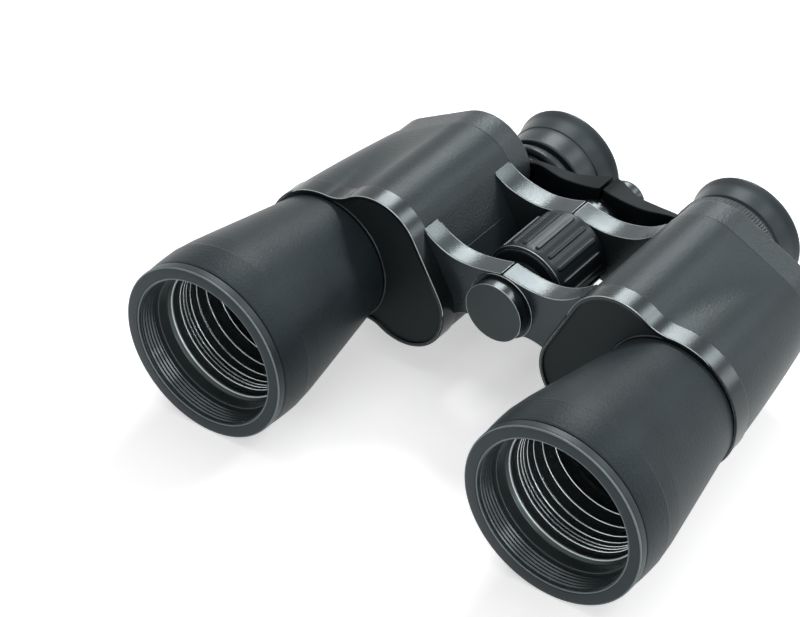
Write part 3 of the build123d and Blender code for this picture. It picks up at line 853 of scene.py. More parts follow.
@dataclass(frozen=True)
class PrismBody(Maker):
    """Prism housing with its front band, rear cover and bridge arms, for one half. Sizes in mm.

    Args:
        form: outline of the housing.
        plate_y: front of the band.
        housing_y: front of the housing.
        cover_y: rear end of the housing.
        cover_end: rear face of the cover.
        wall: wall thickness.
        proud: how far the band stands proud of the housing.
        notch_radius: clearance in the cover round the eyepiece.
        screw_radius: outside of a screw's head.
        screw_reach: distance of the screws from the axis that they stand by.
        rail_span: y of both ends of the flank rail.
        rail_share: how far down the flank the rail lies, from the lobe to the hump.
    """

    form: HousingForm = HousingForm()
    plate_y: float = 60.0
    housing_y: float = 67.0
    cover_y: float = 111.4
    cover_end: float = 121.0
    wall: float = 2.0
    proud: float = 0.35
    notch_radius: float = 13.6
    screw_radius: float = 1.6
    screw_reach: float = 11.0
    rail_span: Pair = (75.0, 99.5)
    rail_share: float = 0.345

    def build(self) -> None:
        """Builds every piece of this body."""
        self.build_shell()
        self.build_band()
        self.build_face_plate()
        self.build_cover()
        self.build_screws()
        self.build_guide()
        self.build_flank_rail()
        for label, (top, stations) in BODY_BRIDGES.items():
            BodyBridge(self.half, ArmForm(top), stations, label).build()

    def build_shell(self) -> None:
        """Hollow tapering shell; its rear rim is rounded where it meets the cover."""
        soft, turn = 0.5, np.radians([22, 45, 67, 90])
        y = [*np.linspace(self.housing_y, self.cover_y - soft, 24), *(self.cover_y - soft + soft * np.sin(turn))]
        grow = [*np.zeros(24), *(-soft * (1 - np.cos(turn)))]
        inner_y = np.linspace(self.cover_y - 0.05, self.housing_y, 8)
        outlines = [self.form.outline(v, g) for v, g in zip([*y, *inner_y], grow + [-self.wall] * 8)]
        self.lofted("housing_shell", outlines, [*y, *inner_y], Finishes.HOUSING, "prism_housing", hollow=True)

    def build_band(self) -> None:
        """Polished band round the front, rounded at both edges; its bright bead, a painted highlight, sinks in where
        the edge is in shade.
        """
        rear = self.housing_y - 0.04
        y, into = edge_rows(self.plate_y, rear, 0.4, 5)
        outlines = [self.form.outline(0, grow) for grow in (*(self.proud - into), -self.wall, -1.5, -0.9)]
        self.lofted("band_shell", outlines, [*y, rear, self.plate_y + 2.0, self.plate_y + 0.1], Finishes.BAND,
                    "front_band", hollow=True)
        edge = self.form.outline(0)
        # The bead shows above a height and inside a width, each half its own: a painted highlight where the edge is
        # lit, sunk out of sight where it is in shade.
        lowest, outermost, fade = -11.0 if self.half is Half.LEFT else 9.0, 77.0, 5.0
        highlight_share = smooth_step((edge[:, 1] - lowest) / fade) * smooth_step((outermost - edge[:, 0]) / fade)
        line = inset(edge, (0.45 * (1 - highlight_share) - self.proud + 0.12)[:, None])
        self.beaded("band_edge", [(at_height(line, self.plate_y + 0.16), 0.15)], Finishes.EDGE)

    def build_face_plate(self) -> None:
        """Recessed plate between the band and the barrel: each outline point faces one on the barrel's seat."""
        outline, y = self.form.outline(0, -1.0), self.plate_y
        centre = np.array(LAYOUT.objective)
        seat = centre + unit(outline - centre) * 21.0
        self.lofted("face_plate", [outline, seat, seat, outline], [y + 0.7, y + 0.7, y + 3.6, y + 3.6],
                    Finishes.PLATE, hollow=True)
        ring = rounded([(20.9, y + 0.3), (22.3, y + 0.3), (22.6, y + 0.6), (22.6, y + 1.4), (20.9, y + 1.4)], 0.3)
        self.turned("barrel_seat", ring, Finishes.BAND, axis=LAYOUT.objective)

    def cover_outline(self, grow: float) -> np.ndarray:
        """Outline of the rear cover: the belt round objective and hump, its points pushed out of a round notch.

        Args:
            grow: how far outside the true outline, in mm.

        Returns:
            (n, 2) outline.
        """
        _, x, z, radius, _ = self.form.sections[-1]
        a, b = Circle(np.array([x, z]), radius - 0.4 + grow), self.form.inner(grow - 0.3)[1]
        (a1, b1), (b2, a2) = a.tangent(b), b.tangent(a)
        belt = np.vstack([straight(a1, b1, 16), b.arc(b1, b2, True, 90), straight(b2, a2, 16), a.arc(a2, a1, True, 80)])
        away = belt - np.array(LAYOUT.eye)
        reach = np.linalg.norm(away, axis=1, keepdims=True)
        return np.array(LAYOUT.eye) + away * np.maximum(1.0, (self.notch_radius - grow) / np.maximum(reach, 1e-6))

    def build_cover(self) -> None:
        """Cup over the rear prism with a rounded rear edge, and the ring round the eyepiece."""
        front, end, soft = self.cover_y + 0.02, self.cover_end, 1.0
        turn = np.radians(np.linspace(0, 90, 7))[1:]
        y = [end - 2.0, end - 2.0, front, front, front + 0.15, *np.linspace(front + 0.6, end - soft, 5),
             *(end - soft + soft * np.sin(turn)), end]
        grow = [-4.0, -self.wall, -self.wall, -0.15, *np.zeros(6), *(-soft * (1 - np.cos(turn))), -2.2]
        self.lofted("cover_shell", [self.cover_outline(g) for g in grow], y, Finishes.COVER, "rear_cover")
        y, bore, lobe = self.cover_y, 11.72, self.form.lobe_radius - 0.5
        ring = rounded([(bore, y + 0.02), (lobe, y + 0.02), (lobe, y + 1.6), (bore, y + 1.6)], 0.5, 5)
        self.turned("lobe_cap", ring, Finishes.COVER, axis=LAYOUT.eye)

    def build_screws(self) -> None:
        """Domed heads, height 0.46 (1 - (r/R)^4) with a cross recess: two by the objective axis, one on the hump."""
        o, h = np.array(LAYOUT.objective), np.array(LAYOUT.hump)
        u = unit(h - o)
        up = np.array([u[1], -u[0]]) * self.screw_reach
        a, rim = angles(72)[None, :], self.screw_radius
        r = np.array([0.0, *np.linspace(0.05, rim, 22), rim, 0.0])[:, None]
        heads = []
        for centre, turn in ((o + up, 0.4), (o - up, 1.1), (h + up, 0.8)):
            across = np.minimum(np.abs(r * np.cos(a - turn)), np.abs(r * np.sin(a - turn)))
            high = 0.46 * (1 - (r / rim) ** 4) - 0.35 * ((across < 0.22) & (r < 1.05))
            high[0], high[-2:] = 0.11, -0.6
            x, z = centre[0] + r * np.cos(a), centre[1] + r * np.sin(a)
            heads.append(np.stack([x, self.cover_end + high, z], axis=-1))
        self.piece("cover_screw_heads", *grid_mesh(heads, False), Finishes.SCREW, "rear_cover_screws")

    def build_guide(self) -> None:
        """Fixed tube that the eyepiece slides in, with a ridge at its foot."""
        y = self.cover_y
        guide = rounded([(10.3, 110.7), (11.55, 110.7), (11.6, y + 1.7), (13.0, y + 1.7), (13.0, y + 3.0),
                         (12.2, y + 3.0), (12.2, 120.8), (10.3, 120.8)], 0.4)
        self.turned("guide_shell", guide, Finishes.SLIDING, "eyepiece_guide", axis=LAYOUT.eye)

    def build_flank_rail(self) -> None:
        """Fine rail along the inner flank, between the bridges."""
        circles = self.form.inner()
        lobe, hump = circles[0].tangent(circles[1])
        line = np.broadcast_to(lobe + (hump - lobe) * self.rail_share, (12, 2))
        path = at_height(line, np.linspace(*self.rail_span, 12))
        self.beaded("flank_rail", [(path, 0.2)], Finishes.BRIDGE, closed=False)


# --- bridges
@dataclass(frozen=True)
class ArmForm:
    """Outline of a hinge arm, seen along the axis. Points are (x, z), sizes in mm.

    Args:
        top: points of the arm's top line at +x.
        low: points of the arm's lower line.
        root: points between top and lower line, just inside the housing's wall.
        hub_radius: outside of the arm's hub.
        split: gap between the two arms on top.
        relief: degrees below horizontal where the hub ends.
    """

    top: Line
    low: Line = ((22, -14.0), (15, -9.4), (9, -8.2), (6.4, -9.2))
    root: Line = ((29.4, 15.2), (26.4, 8.5), (22.0, 0.0), (20.0, -4.5), (19.4, -9.5))
    hub_radius: float = 11.2
    split: float = 0.8
    relief: float = 66.0

    def ends(self, radius: float) -> tuple[np.ndarray, np.ndarray]:
        """Returns where a circle round the axis meets the end of the hub below, and the split on top."""
        gap, low = self.split / 2, math.radians(-self.relief)
        return (np.array([math.cos(low), math.sin(low)]) * radius,
                np.array([gap, math.sqrt(radius ** 2 - gap ** 2)]))

    def outline(self, bore: float) -> np.ndarray:
        """Arm: top line, root, lower line, hub, relief, bore and split.

        Args:
            bore: radius of the bore.

        Returns:
            (n, 2) closed outline.
        """
        (start, end), hub = self.ends(bore), Circle(np.zeros(2), self.hub_radius)
        hub_start, hub_end = unit(np.array(self.low[-1])) * self.hub_radius, self.ends(self.hub_radius)[0]
        corners = [self.top[-1], *self.root, self.low[0]]
        return np.vstack([
            flowing(self.top, 4), *(straight(a, b, 3) for a, b in zip(corners, corners[1:])),
            flowing([*self.low[:-1], tuple(hub_start)], 4),
            hub.arc(hub_start, hub_end, True, 4), straight(hub_end, start, 5),
            Circle(np.zeros(2), bore).arc(start, end, False, 40), straight(end, self.top[0], 4)])

    def hub_outline(self, bore: float, radius: float) -> np.ndarray:
        """Returns the closed outline of a half hub without an arm, from its bore to its outside radius."""
        (low, top), (low_bore, top_bore), origin = self.ends(radius), self.ends(bore), np.zeros(2)
        return np.vstack([
            Circle(origin, radius).arc(top, low, True, 60), straight(low, low_bore, 3),
            Circle(origin, bore).arc(low_bore, top_bore, False, 48), straight(top_bore, top, 3)])


@dataclass(frozen=True)
class SplitHub(Maker):
    """One half of a hinge bridge, whose knuckles take turns with the other half's. Sizes in mm.

    Args:
        form: outline of the arm.
        stations: y of the left knuckle's two ends, then of the right knuckle's.
        knuckle_radius: outside of a knuckle.
        shell_radius: bore of the hub round the other half's knuckle.
        step: where the bore changes behind the left knuckle, in the left and in the right half.
    """

    form: ArmForm
    stations: tuple[float, float, float, float]
    knuckle_radius: ClassVar[float] = 8.0
    shell_radius: ClassVar[float] = 8.3
    step: ClassVar[Pair] = (0.35, 0.28)

    def build_hub(self, part: str, outline: Callable[[float], np.ndarray], front: float, soft: float, rows: int,
                  finish: Finish) -> None:
        """Full-height hub: tight over its own knuckle, wide over the other one.

        Args:
            part: its name without its side.
            outline: gives the outline for a bore.
            front: y of its front face.
            soft: radius of its rounded rims.
            rows: rows on each rim.
            finish: its finish.
        """
        left = self.half is Half.LEFT
        y, into = edge_rows(front, self.stations[3], soft, rows)
        step = self.stations[1] + self.step[0 if left else 1]
        y, into = np.insert(y, rows, [step, step + 0.02]), np.insert(into, rows, [0.0, 0.0])
        tight = (y <= step) == left
        bores = np.where(tight, self.knuckle_radius - 0.1, self.shell_radius)
        self.lofted(part, [inset(outline(bore), d) for bore, d in zip(bores, into)], y, finish)

    def build_knuckle(self, part: str, bore: float, finish: Finish) -> None:
        """Makes the knuckle on the pin or the spindle, with a bore of that radius."""
        (front, rear), r = self.stations[:2] if self.half is Half.LEFT else self.stations[2:], self.knuckle_radius
        self.turned(part, rounded([(bore, front), (r, front), (r, rear), (bore, rear)], 0.3), finish, segments=96)


@dataclass(frozen=True)
class BodyBridge(SplitHub):
    """Hinge bridge between the two bodies, one half's arm. Sizes in mm.

    Args:
        label: name of the bridge.
        pin_radius: bore of a knuckle.
        soft: radius of the rounded edges.
        rub: radius of the bright beads along the edges, a painted highlight.
    """

    label: str
    pin_radius: float = 5.05
    soft: float = 0.45
    rub: float = 0.14

    def build(self) -> None:
        """Builds the arm, its knuckle and bright beads on the top edges, a painted highlight: along both rims, and
        across at the split.
        """
        self.build_hub(f"{self.label}_arm", self.form.outline, self.stations[0], self.soft, 4, Finishes.BRIDGE)
        self.build_knuckle(f"{self.label}_knuckle", self.pin_radius, Finishes.BRIDGE)
        deep = self.soft * 0.3
        top = inset(self.form.outline(self.shell_radius), deep)[:4 * (len(self.form.top) - 1)]
        front, rear = self.stations[0] + deep, self.stations[3] - deep
        across = at_height(np.broadcast_to(top[0], (6, 2)), np.linspace(front + 0.3, rear - 0.3, 6))
        paths = at_height(top, front), at_height(top, rear), across
        # Bright beads along the top edges: a painted highlight.
        self.beaded(f"{self.label}_edges", [(path, self.rub) for path in paths], Finishes.EDGE, closed=False)


BODY_BRIDGES = {
    "front_bridge": (((0.4, 11.65), (6, 10.5), (12, 9.8), (18, 10.3), (23.5, 12.5), (28.6, 16.0)),
                     (65.7, 69.2, 69.5, 73.0)),
    "rear_bridge": (((0.4, 12.2), (6, 10.7), (12, 10.0), (18, 10.7), (24, 12.6), (29.8, 16.3)),
                    (103.3, 107.2, 107.5, 111.4))}


@dataclass(frozen=True)
class OcularBridge(SplitHub):
    """Arm that carries an eyepiece: split hub on the spindle, thinning blade, and ring. Sizes in mm.

    Args:
        rear: (x, y) points of its rear face.
        blade_front: y of its front face outside the sweep.
        sweep: x where its front face starts to sweep back, and how far on it ends.
        blade_bore: radius of the blade's inner end.
        hub_radius: outside of the hub.
        spindle_bore: radius of a knuckle's bore.
        net: spacing of the points that fill the blade's faces.
        ring: radius and the y of both ends of the ring round the eyepiece.
    """

    form: ArmForm = ArmForm(
        ((0.7, 12.4), (3, 11.7), (7, 11.1), (12, 10.7), (19, 10.7), (26, 10.4), (33.4, 8.4)),
        ((33.4, -22), (24, -16), (15, -9.0), (9, -7.8), (6.4, -8.6)), (), 11.6, 1.4)
    stations: tuple[float, float, float, float] = (119.2, 123.3, 123.6, 127.8)
    rear: Line = ((0, 127.75), (3.0, 127.75), (4.6, 127.0), (8.0, 125.6), (12.0, 124.4), (19, 124.0), (60, 123.6))
    blade_front: float = 121.6
    sweep: Pair = (14.0, 12.2)
    blade_bore: float = 8.32
    hub_radius: float = 10.75
    spindle_bore: float = 4.15
    net: float = 1.1
    ring: Triple = (18.2, 121.6, 126.0)

    @property
    def body(self) -> str:
        """CAD body of this arm."""
        return self.half.ocular

    def build(self) -> None:
        """Builds blade, hub, knuckle and ring."""
        self.build_blade()
        self.build_hub("ocular_hub", lambda bore: self.form.hub_outline(bore, self.hub_radius),
                       self.stations[0] + 0.05, 0.5, 5, Finishes.OCULAR)
        self.build_knuckle("ocular_knuckle", self.spindle_bore, Finishes.OCULAR)
        self.build_ring()

    def front_face(self, flat: np.ndarray, shift: float = 0.0) -> np.ndarray:
        """Puts points (x, z) on the blade's front face, or a shift behind it."""
        swept = smooth_step((flat[:, 0] - self.sweep[0]) / self.sweep[1])
        return at_height(flat, self.stations[0] + (self.blade_front - self.stations[0]) * swept + shift)

    def rear_face(self, flat: np.ndarray, shift: float = 0.0) -> np.ndarray:
        """Puts points (x, z) on the blade's rear face, or a shift behind it."""
        return at_height(flat, np.interp(flat[:, 0], *np.array(self.rear).T) + shift)

    def build_blade(self) -> None:
        """Blade between front(x) and rear(x), both rims rounded, both faces filled so that they follow y(x)."""
        outline, steps = self.form.outline(self.blade_bore), 5
        rims = [(inset(outline, d), shift) for shift, d in zip(*edge_rows(0.0, 0.0, 0.45, steps))]
        grid = np.stack([(self.front_face if k < steps else self.rear_face)(*rim) for k, rim in enumerate(rims)])
        points, faces = grid_mesh([grid], False)
        net, triangles = filled(rims[0][0], self.net)
        n, own = len(outline), triangles < len(outline)
        near = np.where(own, triangles, triangles - n + len(points))
        far = np.where(own, triangles + len(points) - n, triangles - n + len(points) + len(net))
        self.piece("ocular_blade", np.vstack([points, self.front_face(net), self.rear_face(net)]),
                   faces + near.tolist() + far.tolist(), Finishes.OCULAR, "ocular_arm", crease=40)

    def build_ring(self) -> None:
        """Ring round the eyepiece, with soft rims and a fine groove behind the blade."""
        (r, y0, y1), bore = self.ring, 14.45
        ring = rounded([(bore, y0), (r - 0.1, y0), (r, y0 + 0.5), (r, y1 - 1.1), (r - 0.25, y1 - 1.0),
                        (r - 0.25, y1 - 0.8), (r - 0.1, y1 - 0.7), (r - 0.6, y1), (bore, y1)], 0.4)
        self.turned("ocular_ring", ring, Finishes.OCULAR, axis=LAYOUT.eye)


# --- centre column
@dataclass(frozen=True)
class FocusWheel(Maker):
    """Focus wheel: flange in front, raised ribs, and panels with patterns between them. Sizes in mm.

    Args:
        radius: radius between the ribs.
        flange_radius: radius of the flange.
        bore: radius of the hole for the pin.
        front: y of the front face.
        rear: y of the rear face.
        rib_span: y of both ends of the ribs.
        rib_width: width of a rib.
        rib_height: height of a rib.
        ribs: number of ribs.
        panel_depth: how deep a patterned panel and a plain one are sunk.
        pitches: pitch of the diamonds, the lines and the dots.
    """

    radius: float = 13.2
    flange_radius: float = 13.9
    bore: float = 5.1
    front: float = 77.6
    rear: float = 102.6
    rib_span: Pair = (80.5, 100.3)
    rib_width: float = 1.4
    rib_height: float = 0.52
    ribs: int = 18
    panel_depth: Pair = (0.16, 0.03)
    pitches: Triple = (0.62, 0.9, 0.85)
    segments: ClassVar[int] = 720

    @property
    def body(self) -> str:
        """CAD body of the wheel."""
        return "focus_wheel_body"

    def build(self) -> None:
        """Builds the wheel."""
        f, r, fr = self.front, self.radius, self.flange_radius
        head = rounded([(self.bore, 80.0), (self.bore, 73.7), (8.1, 73.7), (8.5, f - 0.1), (12.15, f - 0.02),
                        (12.25, f + 0.22), (12.55, f + 0.22), (12.7, f + 0.02), (13.1, f + 0.02), (13.25, f + 0.35),
                        (13.45, f + 0.35), (fr, f + 0.75), (fr, f + 1.45), (r + 0.05, f + 2.05)], 0.22, closed=False)
        rows = np.linspace(f + 2.35, self.rear - 1.0, 96)
        tail = rounded([(r, self.rear - 0.95), (r - 0.05, self.rear - 0.5), (r - 0.6, self.rear),
                        (self.bore, self.rear)], 0.3, closed=False)
        profile = np.vstack([head, np.stack([np.full_like(rows, r), rows], axis=1), tail])
        profile = profile[:, None, :].repeat(self.segments, axis=1)
        profile[len(head):-len(tail), :, 0] += self.relief(angles(self.segments)[None, :], rows[:, None])
        self.turned("wheel_shell", profile, Finishes.WHEEL, "focus_wheel", crease=75)

    def relief(self, a: np.ndarray, y: np.ndarray) -> np.ndarray:
        """Height above the wheel: ribs with round ends, and sunk framed panels that differ from rib to rib.

        A rib is H smooth_step((w/2 + 0.12 - d) / 0.34) with d the distance from its middle line. A panel is sunk
        inside a frame. Three of each six have a pattern of diamonds, fine lines or dots, from cosines of s = r a
        and y.

        Args:
            a: angles, (1, n).
            y: stations, (m, 1).

        Returns:
            (m, n) heights in mm.
        """
        sector, (first, last) = 2 * math.pi / self.ribs, self.rib_span
        from_middle = ((a / sector) % 1.0 - 0.5) * sector
        panel = np.floor(a / sector).astype(int) % 6
        s, half_width = from_middle * self.radius, self.rib_width / 2
        beyond = np.maximum(np.maximum(first + half_width - y, y - last + half_width), 0.0)
        edge = (sector / 2 - np.abs(from_middle)) * self.radius
        rib = self.rib_height * smooth_step((half_width + 0.12 - np.sqrt(edge ** 2 + beyond ** 2)) / 0.34)
        frame_width, soft = (0.42, 0.35), 0.14
        inside = smooth_step((edge - half_width - frame_width[0]) / soft) \
            * smooth_step((y - first - frame_width[1]) / soft) * smooth_step((last - frame_width[1] - y) / soft)
        diamond, line, dot = (math.pi / pitch for pitch in self.pitches)
        diamonds = np.abs(np.cos(diamond * (s + y)) * np.cos(diamond * (s - y)))
        lines = 0.5 + 0.5 * np.cos(2 * line * y)
        dots = smooth_step(np.cos(2 * dot * s) * np.cos(2 * dot * y) * 2 - 0.2)
        deep, plain = self.panel_depth
        sunk = [deep * (pattern - 1) for pattern in (diamonds, lines, dots)]
        return rib + inside * np.select([panel == 1, panel == 5, panel == 0], sunk, -plain)


@dataclass(frozen=True)
class CentreColumn(Maker):
    """Caps, washers, sleeve and focus wheel on the hinge axis. Sizes in mm.

    Args:
        cap_radius: radius of the hinge cap.
        washer_radius: radius of the washer behind it.
        sleeve_radius: radius of the sleeve between the rear and the ocular bridge.
        end_cap_radius: radius of the dome at the end of the spindle.
    """

    cap_radius: float = 9.87
    washer_radius: float = 11.1
    sleeve_radius: float = 8.85
    end_cap_radius: float = 6.5

    @property
    def body(self) -> str:
        """CAD body that holds the column."""
        return Half.LEFT.body

    def build(self) -> None:
        """Builds every piece of the column."""
        cap, wash, r, dome = self.cap_radius, self.washer_radius, self.sleeve_radius, self.end_cap_radius
        profile = rounded([(0, 61.22), (cap, 61.22), (cap, 65.3), (0, 65.3)], 0.16, 5, closed=False)
        self.turned("hinge_cap_shell", profile, Finishes.CAP, "hinge_cap", closed=False)
        profile = rounded([(5.1, 65.3), (wash, 65.3), (wash, 65.66), (5.1, 65.66)], 0.12)
        self.turned("washer_shell", profile, Finishes.BAND, "front_washer")
        profile = rounded([(3.1, 98.7), (4.95, 98.7), (4.95, 111.85), (r, 111.85), (r, 113.4), (r - 0.3, 113.6),
                           (r - 0.3, 114.0), (r, 114.2), (r, 117.5), (r - 1.0, 118.6), (3.1, 118.6)], 0.4)
        self.turned("sleeve_shell", profile, Finishes.SLIDING, "rear_hinge_sleeve")
        side = rounded([(2.05, 130.1), (2.05, 128.45), (dome - 0.1, 128.5), (dome, 128.9), (dome, 134.6)], 0.3,
                       closed=False)
        top = flowing([(dome, 134.8), (dome - 0.35, 135.7), (dome - 1.2, 136.35), (3.2, 136.8), (0, 136.95)], 5)
        profile = np.vstack([[(0, 130.1)], side, top, [(0, 136.95)]])
        self.turned("end_cap_shell", profile, Finishes.CAP, "ocular_end_cap", closed=False, body=Half.LEFT.ocular)
        wheel = FocusWheel(None)
        wheel.build()
        # Bright beads round the cap, the washer and the wheel's flange: a painted highlight on their edges.
        for name, radius, y, own, maker in (
                ("hinge_cap_edge", cap - 0.06, 61.3, 0.1, self), ("washer_edge", wash - 0.07, 65.4, 0.12, self),
                ("wheel_flange_edge", 13.6, 78.12, 0.17, wheel), ("wheel_inner_edge", 12.62, 77.76, 0.1, wheel)):
            maker.beaded(name, [(circle(self.axis, radius, y, 120), own)], Finishes.EDGE)


# --- eyepieces
@dataclass(frozen=True)
class Eyepiece(Maker):
    """Sliding tube, collar or dioptre ring, eye barrel and eyecup of one half. Radii and y in mm.

    Args:
        cup_front: radius of the cup's front lip.
        cup_rim: radius of its rear rim.
        ring_radius: radius of the dioptre ring over its ridges.
        ridges: number of ridges round the dioptre ring.
        knurl: y of both ends of the ridges.
    """

    cup_front: float = 17.0
    cup_rim: float = 19.7
    ring_radius: float = 18.6
    ridges: int = 112
    knurl: Pair = (137.2, 142.1)
    axis: ClassVar[Pair] = LAYOUT.eye

    @property
    def body(self) -> str:
        """CAD body that carries the cup; the right one shifts with the dioptre ring."""
        return "diopter_eyepiece" if self.half is Half.RIGHT else self.half.ocular

    def build(self) -> None:
        """Builds every piece of this eyepiece."""
        tube = rounded([(9.25, 100.6), (10.18, 100.6), (10.18, 121.4), (14.35, 121.4), (14.35, 127.85),
                        (12.45, 127.85), (12.45, 138.4), (10.95, 138.4), (10.95, 125.0), (9.25, 123.4)], 0.25)
        self.turned("eyepiece_tube_shell", tube, Finishes.SLIDING, "eyepiece_tube", body=self.half.ocular)
        self.build_cup()
        barrel = rounded([(9.5, 126.5), (10.8, 126.5), (10.8, 140.05), (13.15, 140.05), (13.15, 144.15),
                          (12.2, 144.15), (11.2, 143.2), (11.0, 143.2), (10.65, 142.9), (10.65, 139.4), (9.5, 138.6)],
                         0.2)
        self.turned("eye_barrel_shell", barrel, Finishes.INNER, "eye_barrel")
        ring = rounded([(9.5, 142.85), (10.45, 142.85), (10.45, 143.85), (10.0, 143.95), (9.6, 143.3)], 0.15)
        self.turned("eye_ring_shell", ring, Finishes.SLIDING, "eye_lens_ring")
        if self.half is Half.RIGHT:
            self.build_dioptre_ring()
        else:
            collar = rounded([(12.6, 128.05), (14.95, 128.05), (14.95, 130.4), (16.1, 130.4), (17.25, 131.35),
                              (17.1, 133.0), (16.4, 134.75), (12.6, 134.75)], 0.45, 5)
            self.turned("collar_shell", collar, Finishes.BAND, "collar_ring")

    def build_cup(self) -> None:
        """Soft cup: rolled front lip, slow flare, shallow crease, wide flare, round rim and a hollow behind."""
        f, rim = self.cup_front, self.cup_rim
        lip = [(13.5, 135.75), (f - 0.5, 135.7), (f + 0.05, 135.85), (f + 0.27, 136.25), (f + 0.05, 136.75)]
        flare = flowing([(f + 0.02, 137.1), (f + 0.18, 139.6), (f + 0.38, 142.6), (f + 0.5, 143.5)], 5)
        crease = rounded([(f + 0.5, 143.6), (17.52, 143.95), (17.85, 144.25), (18.1, 145.6)], 0.3, closed=False)[1:-1]
        wide = flowing([(18.12, 145.8), (18.75, 149.2), (19.35, 151.0), (rim - 0.02, 152.0)], 6)
        edge = flowing([(rim, 152.3), (rim - 0.2, 152.75), (rim - 0.75, 152.98), (rim - 1.4, 152.8),
                        (rim - 2.0, 152.2)], 5)
        hollow = flowing([(rim - 2.1, 152.0), (17.0, 149.6), (15.9, 147.2), (14.8, 145.6), (13.7, 144.7),
                          (12.6, 144.65)], 5)
        foot = [(12.45, 144.6), (12.45, 144.3), (13.35, 144.3), (13.35, 139.7), (13.5, 139.7)]
        self.turned("eyecup_shell", np.vstack([lip, flare, crease, wide, edge, hollow, foot]), Finishes.CUP,
                    "eyecup", segments=160, crease=40)

    def build_dioptre_ring(self) -> None:
        """Dioptre ring: r gains 0.4 (1 - |cos(n a / 2)|^1.5) over the knurled band, fading at both ends."""
        r, (k0, k1), rows, bore = self.ring_radius, self.knurl, 16, 12.62
        front = rounded([(bore, 134.0), (bore, 128.35), (r - 2.7, 128.35), (r - 1.5, 129.4), (r - 0.75, 130.9),
                         (r - 0.6, 136.5)], 0.5, closed=False)
        back = rounded([(r - 0.5, k1 + 0.2), (r - 0.8, 142.38), (17.25, 142.38), (17.25, 134.0), (bore, 134.0)], 0.2,
                       closed=False)
        y, a = np.linspace(k0 - 0.45, k1 + 0.15, rows), angles(self.ridges * 8)
        band = np.stack([np.full(rows, r - 0.42), y], axis=1)
        profile = np.vstack([front, band, back])[:, None, :].repeat(len(a), axis=1)
        fade = smooth_step((y - k0 + 0.45) / 0.5) * smooth_step((k1 + 0.15 - y) / 0.45)
        profile[len(front):-len(back), :, 0] += 0.4 * (1 - np.abs(np.cos(self.ridges * a / 2)) ** 1.5) * fade[:, None]
        self.turned("dioptre_shell", profile, Finishes.DIOPTRE, "diopter_ring", segments=len(a), crease=80,
                    body="diopter_ring_body")


# --- studio
@dataclass(frozen=True)
class Lamp:
    """A soft rectangular lamp.

    Args:
        name: its name.
        place: where it stands, in metres.
        size: width and height, in metres.
        watts: its power.
        along: direction of its width.
        aim: where it points.
    """

    name: str
    place: Triple
    size: Pair
    watts: float
    along: Triple = (1.0, 0.0, 0.0)
    aim: Triple = (0.0, 0.0, 0.03)

    def build(self) -> None:
        """Adds the lamp."""
        data = bpy.data.lights.new(self.name, "AREA")
        data.shape, data.energy = "RECTANGLE", self.watts
        data.size, data.size_y = self.size
        lamp = bpy.data.objects.new(self.name, data)
        lamp.location = self.place
        lamp.rotation_mode = "QUATERNION"
        back = (Vector(self.place) - Vector(self.aim)).normalized()
        up = back.cross(Vector(self.along)).normalized()
        lamp.rotation_quaternion = Matrix((up.cross(back), up, back)).transposed().to_quaternion()
        bpy.context.scene.collection.objects.link(lamp)


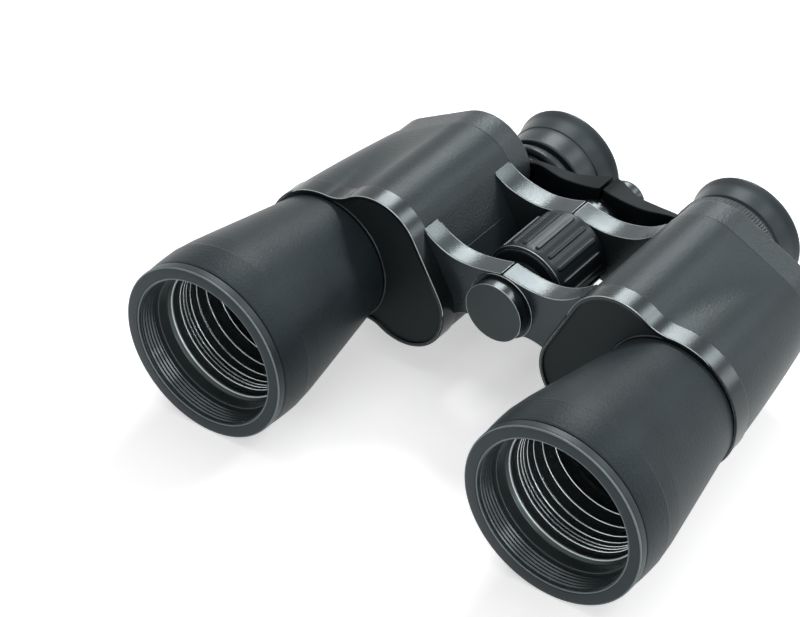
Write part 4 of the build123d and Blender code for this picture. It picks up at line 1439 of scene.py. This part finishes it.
@dataclass
class Studio:
    """Floor, lamps, world and camera.

    Args:
        camera_place: where the camera stands, from the point under the hinge axis at the rims, in mm.
        azimuth: degrees round the object, 0 looks along +Y.
        elevation: degrees above the horizon.
        roll: degrees about the line of sight.
        lens: focal length in mm on a 36 mm sensor.
        floor_reach: half the floor's width, in metres.
        lift_span: distances in metres between which the floor's lift rises.
        floor_lift: how much the floor gives off where it is seen, near the object and far from it, so that it
            looks white.
        world_light: strength of the world as a light.
        lamps: the lamps.
    """

    camera_place: Triple = (349.08, -447.84, 464.64)
    azimuth: float = 37.0
    elevation: float = 36.87
    roll: float = -0.78
    lens: float = 117.0
    floor_reach: float = 6.0
    lift_span: Pair = (0.6, 2.2)
    floor_lift: Pair = (0.5, 0.85)
    world_light: float = 0.3
    lamps: list[Lamp] = field(default_factory=lambda: [
        Lamp("back_left_lamp", (-0.30, 0.72, 0.78), (0.48, 0.15), 5.6, (0.85, 0.0, 0.53)),
        Lamp("back_right_lamp", (0.44, 0.69, 0.72), (0.26, 0.18), 2.6, (0.55, 0.16, -0.81)),
        Lamp("low_right_lamp", (0.75, 0.73, 0.33), (0.26, 0.18), 1.2, (0.55, 0.16, -0.81)),
        Lamp("mouth_lamp", (0.98, -0.62, 0.22), (0.30, 0.20), 1.4, (0.54, 0.84, 0.0)),
        Lamp("top_softbox", (0, 0.1, 1.0), (0.8, 0.8), 2.5),
        Lamp("front_right_fill", (0.78, -0.56, 0.66), (0.55, 0.45), 2.0),
    ])

    def build(self) -> None:
        """Adds everything."""
        bpy.context.scene.view_settings.view_transform = "Standard"
        self.build_camera()
        self.build_floor()
        self.build_world()
        for lamp in self.lamps:
            lamp.build()
        LOG.info("studio: camera, floor, world and %d lamps", len(self.lamps))

    def build_camera(self) -> None:
        """Adds the camera. Its axes are right, up and back; roll turns right and up about back."""
        az, el, roll = (math.radians(v) for v in (self.azimuth, self.elevation, self.roll))
        back = Vector((math.sin(az) * math.cos(el), -math.cos(az) * math.cos(el), math.sin(el)))
        right = Vector((0, 0, 1)).cross(back).normalized()
        up = back.cross(right)
        cos, sin = math.cos(roll), math.sin(roll)
        turn = Matrix((right * cos + up * sin, up * cos - right * sin, back))
        data = bpy.data.cameras.new("camera")
        data.lens, data.sensor_width = self.lens, 36.0
        data.clip_start, data.clip_end = 0.01, 20.0
        camera = bpy.data.objects.new("camera", data)
        place = LAYOUT.to_frame(np.array(self.camera_place))
        camera.matrix_world = Matrix.Translation(Vector(place.tolist())) @ turn.transposed().to_4x4()
        bpy.context.scene.collection.objects.link(camera)
        bpy.context.scene.camera = camera

    def build_floor(self) -> None:
        """Adds a pale floor far wider than the object."""
        reach, mesh = self.floor_reach, bpy.data.meshes.new("floor")
        mesh.from_pydata([(-reach, -reach, 0), (reach, -reach, 0), (reach, reach, 0), (-reach, reach, 0)], [],
                         [(0, 1, 2, 3)])
        floor = bpy.data.objects.new("floor", mesh)
        bpy.context.scene.collection.objects.link(floor)
        material = bpy.data.materials.new("floor_white")
        mesh.materials.append(material)
        tree = Nodes(material)
        place = tree.add("NewGeometry", "Position")
        away = tree.add("VectorMath", "Value", {0: place}, "LENGTH")
        (near, far), (low, high) = self.lift_span, self.floor_lift
        span = {"Value": away, "From Min": near, "From Max": far, "To Min": low, "To Max": high}
        lift = tree.add("Math", "Value", {0: tree.seen(), 1: tree.add("MapRange", "Result", span)}, "MULTIPLY")
        tree.fill(tree.shader, {"Base Color": (0.9, 0.9, 0.9, 1), "Roughness": 0.7, "Specular IOR Level": 0.2,
                                "Emission Color": (1, 1, 1, 1), "Emission Strength": lift})

    def build_world(self) -> None:
        """White for what is seen, dimmer for the light that it gives."""
        world = bpy.context.scene.world = bpy.data.worlds.new("world")
        tree = Nodes(world, "Background")
        strength = tree.add("MapRange", "Result", {"Value": tree.seen(), "To Min": self.world_light, "To Max": 1.0})
        tree.fill(tree.shader, {"Color": (1, 1, 1, 1), "Strength": strength})


def main() -> None:
    """Builds every sub-assembly and the studio."""
    logging.basicConfig(level=logging.INFO, format="%(name)s: %(message)s")
    dress_cad_nodes()
    CentreColumn(None).build()
    for half in Half:
        Objective(half).build()
        PrismBody(half).build()
        OcularBridge(half).build()
    Eyepiece(Half.LEFT).build()
    Eyepiece(Half.RIGHT, cup_front=16.4).build()
    Studio().build()


if __name__ == "__main__":
    main()
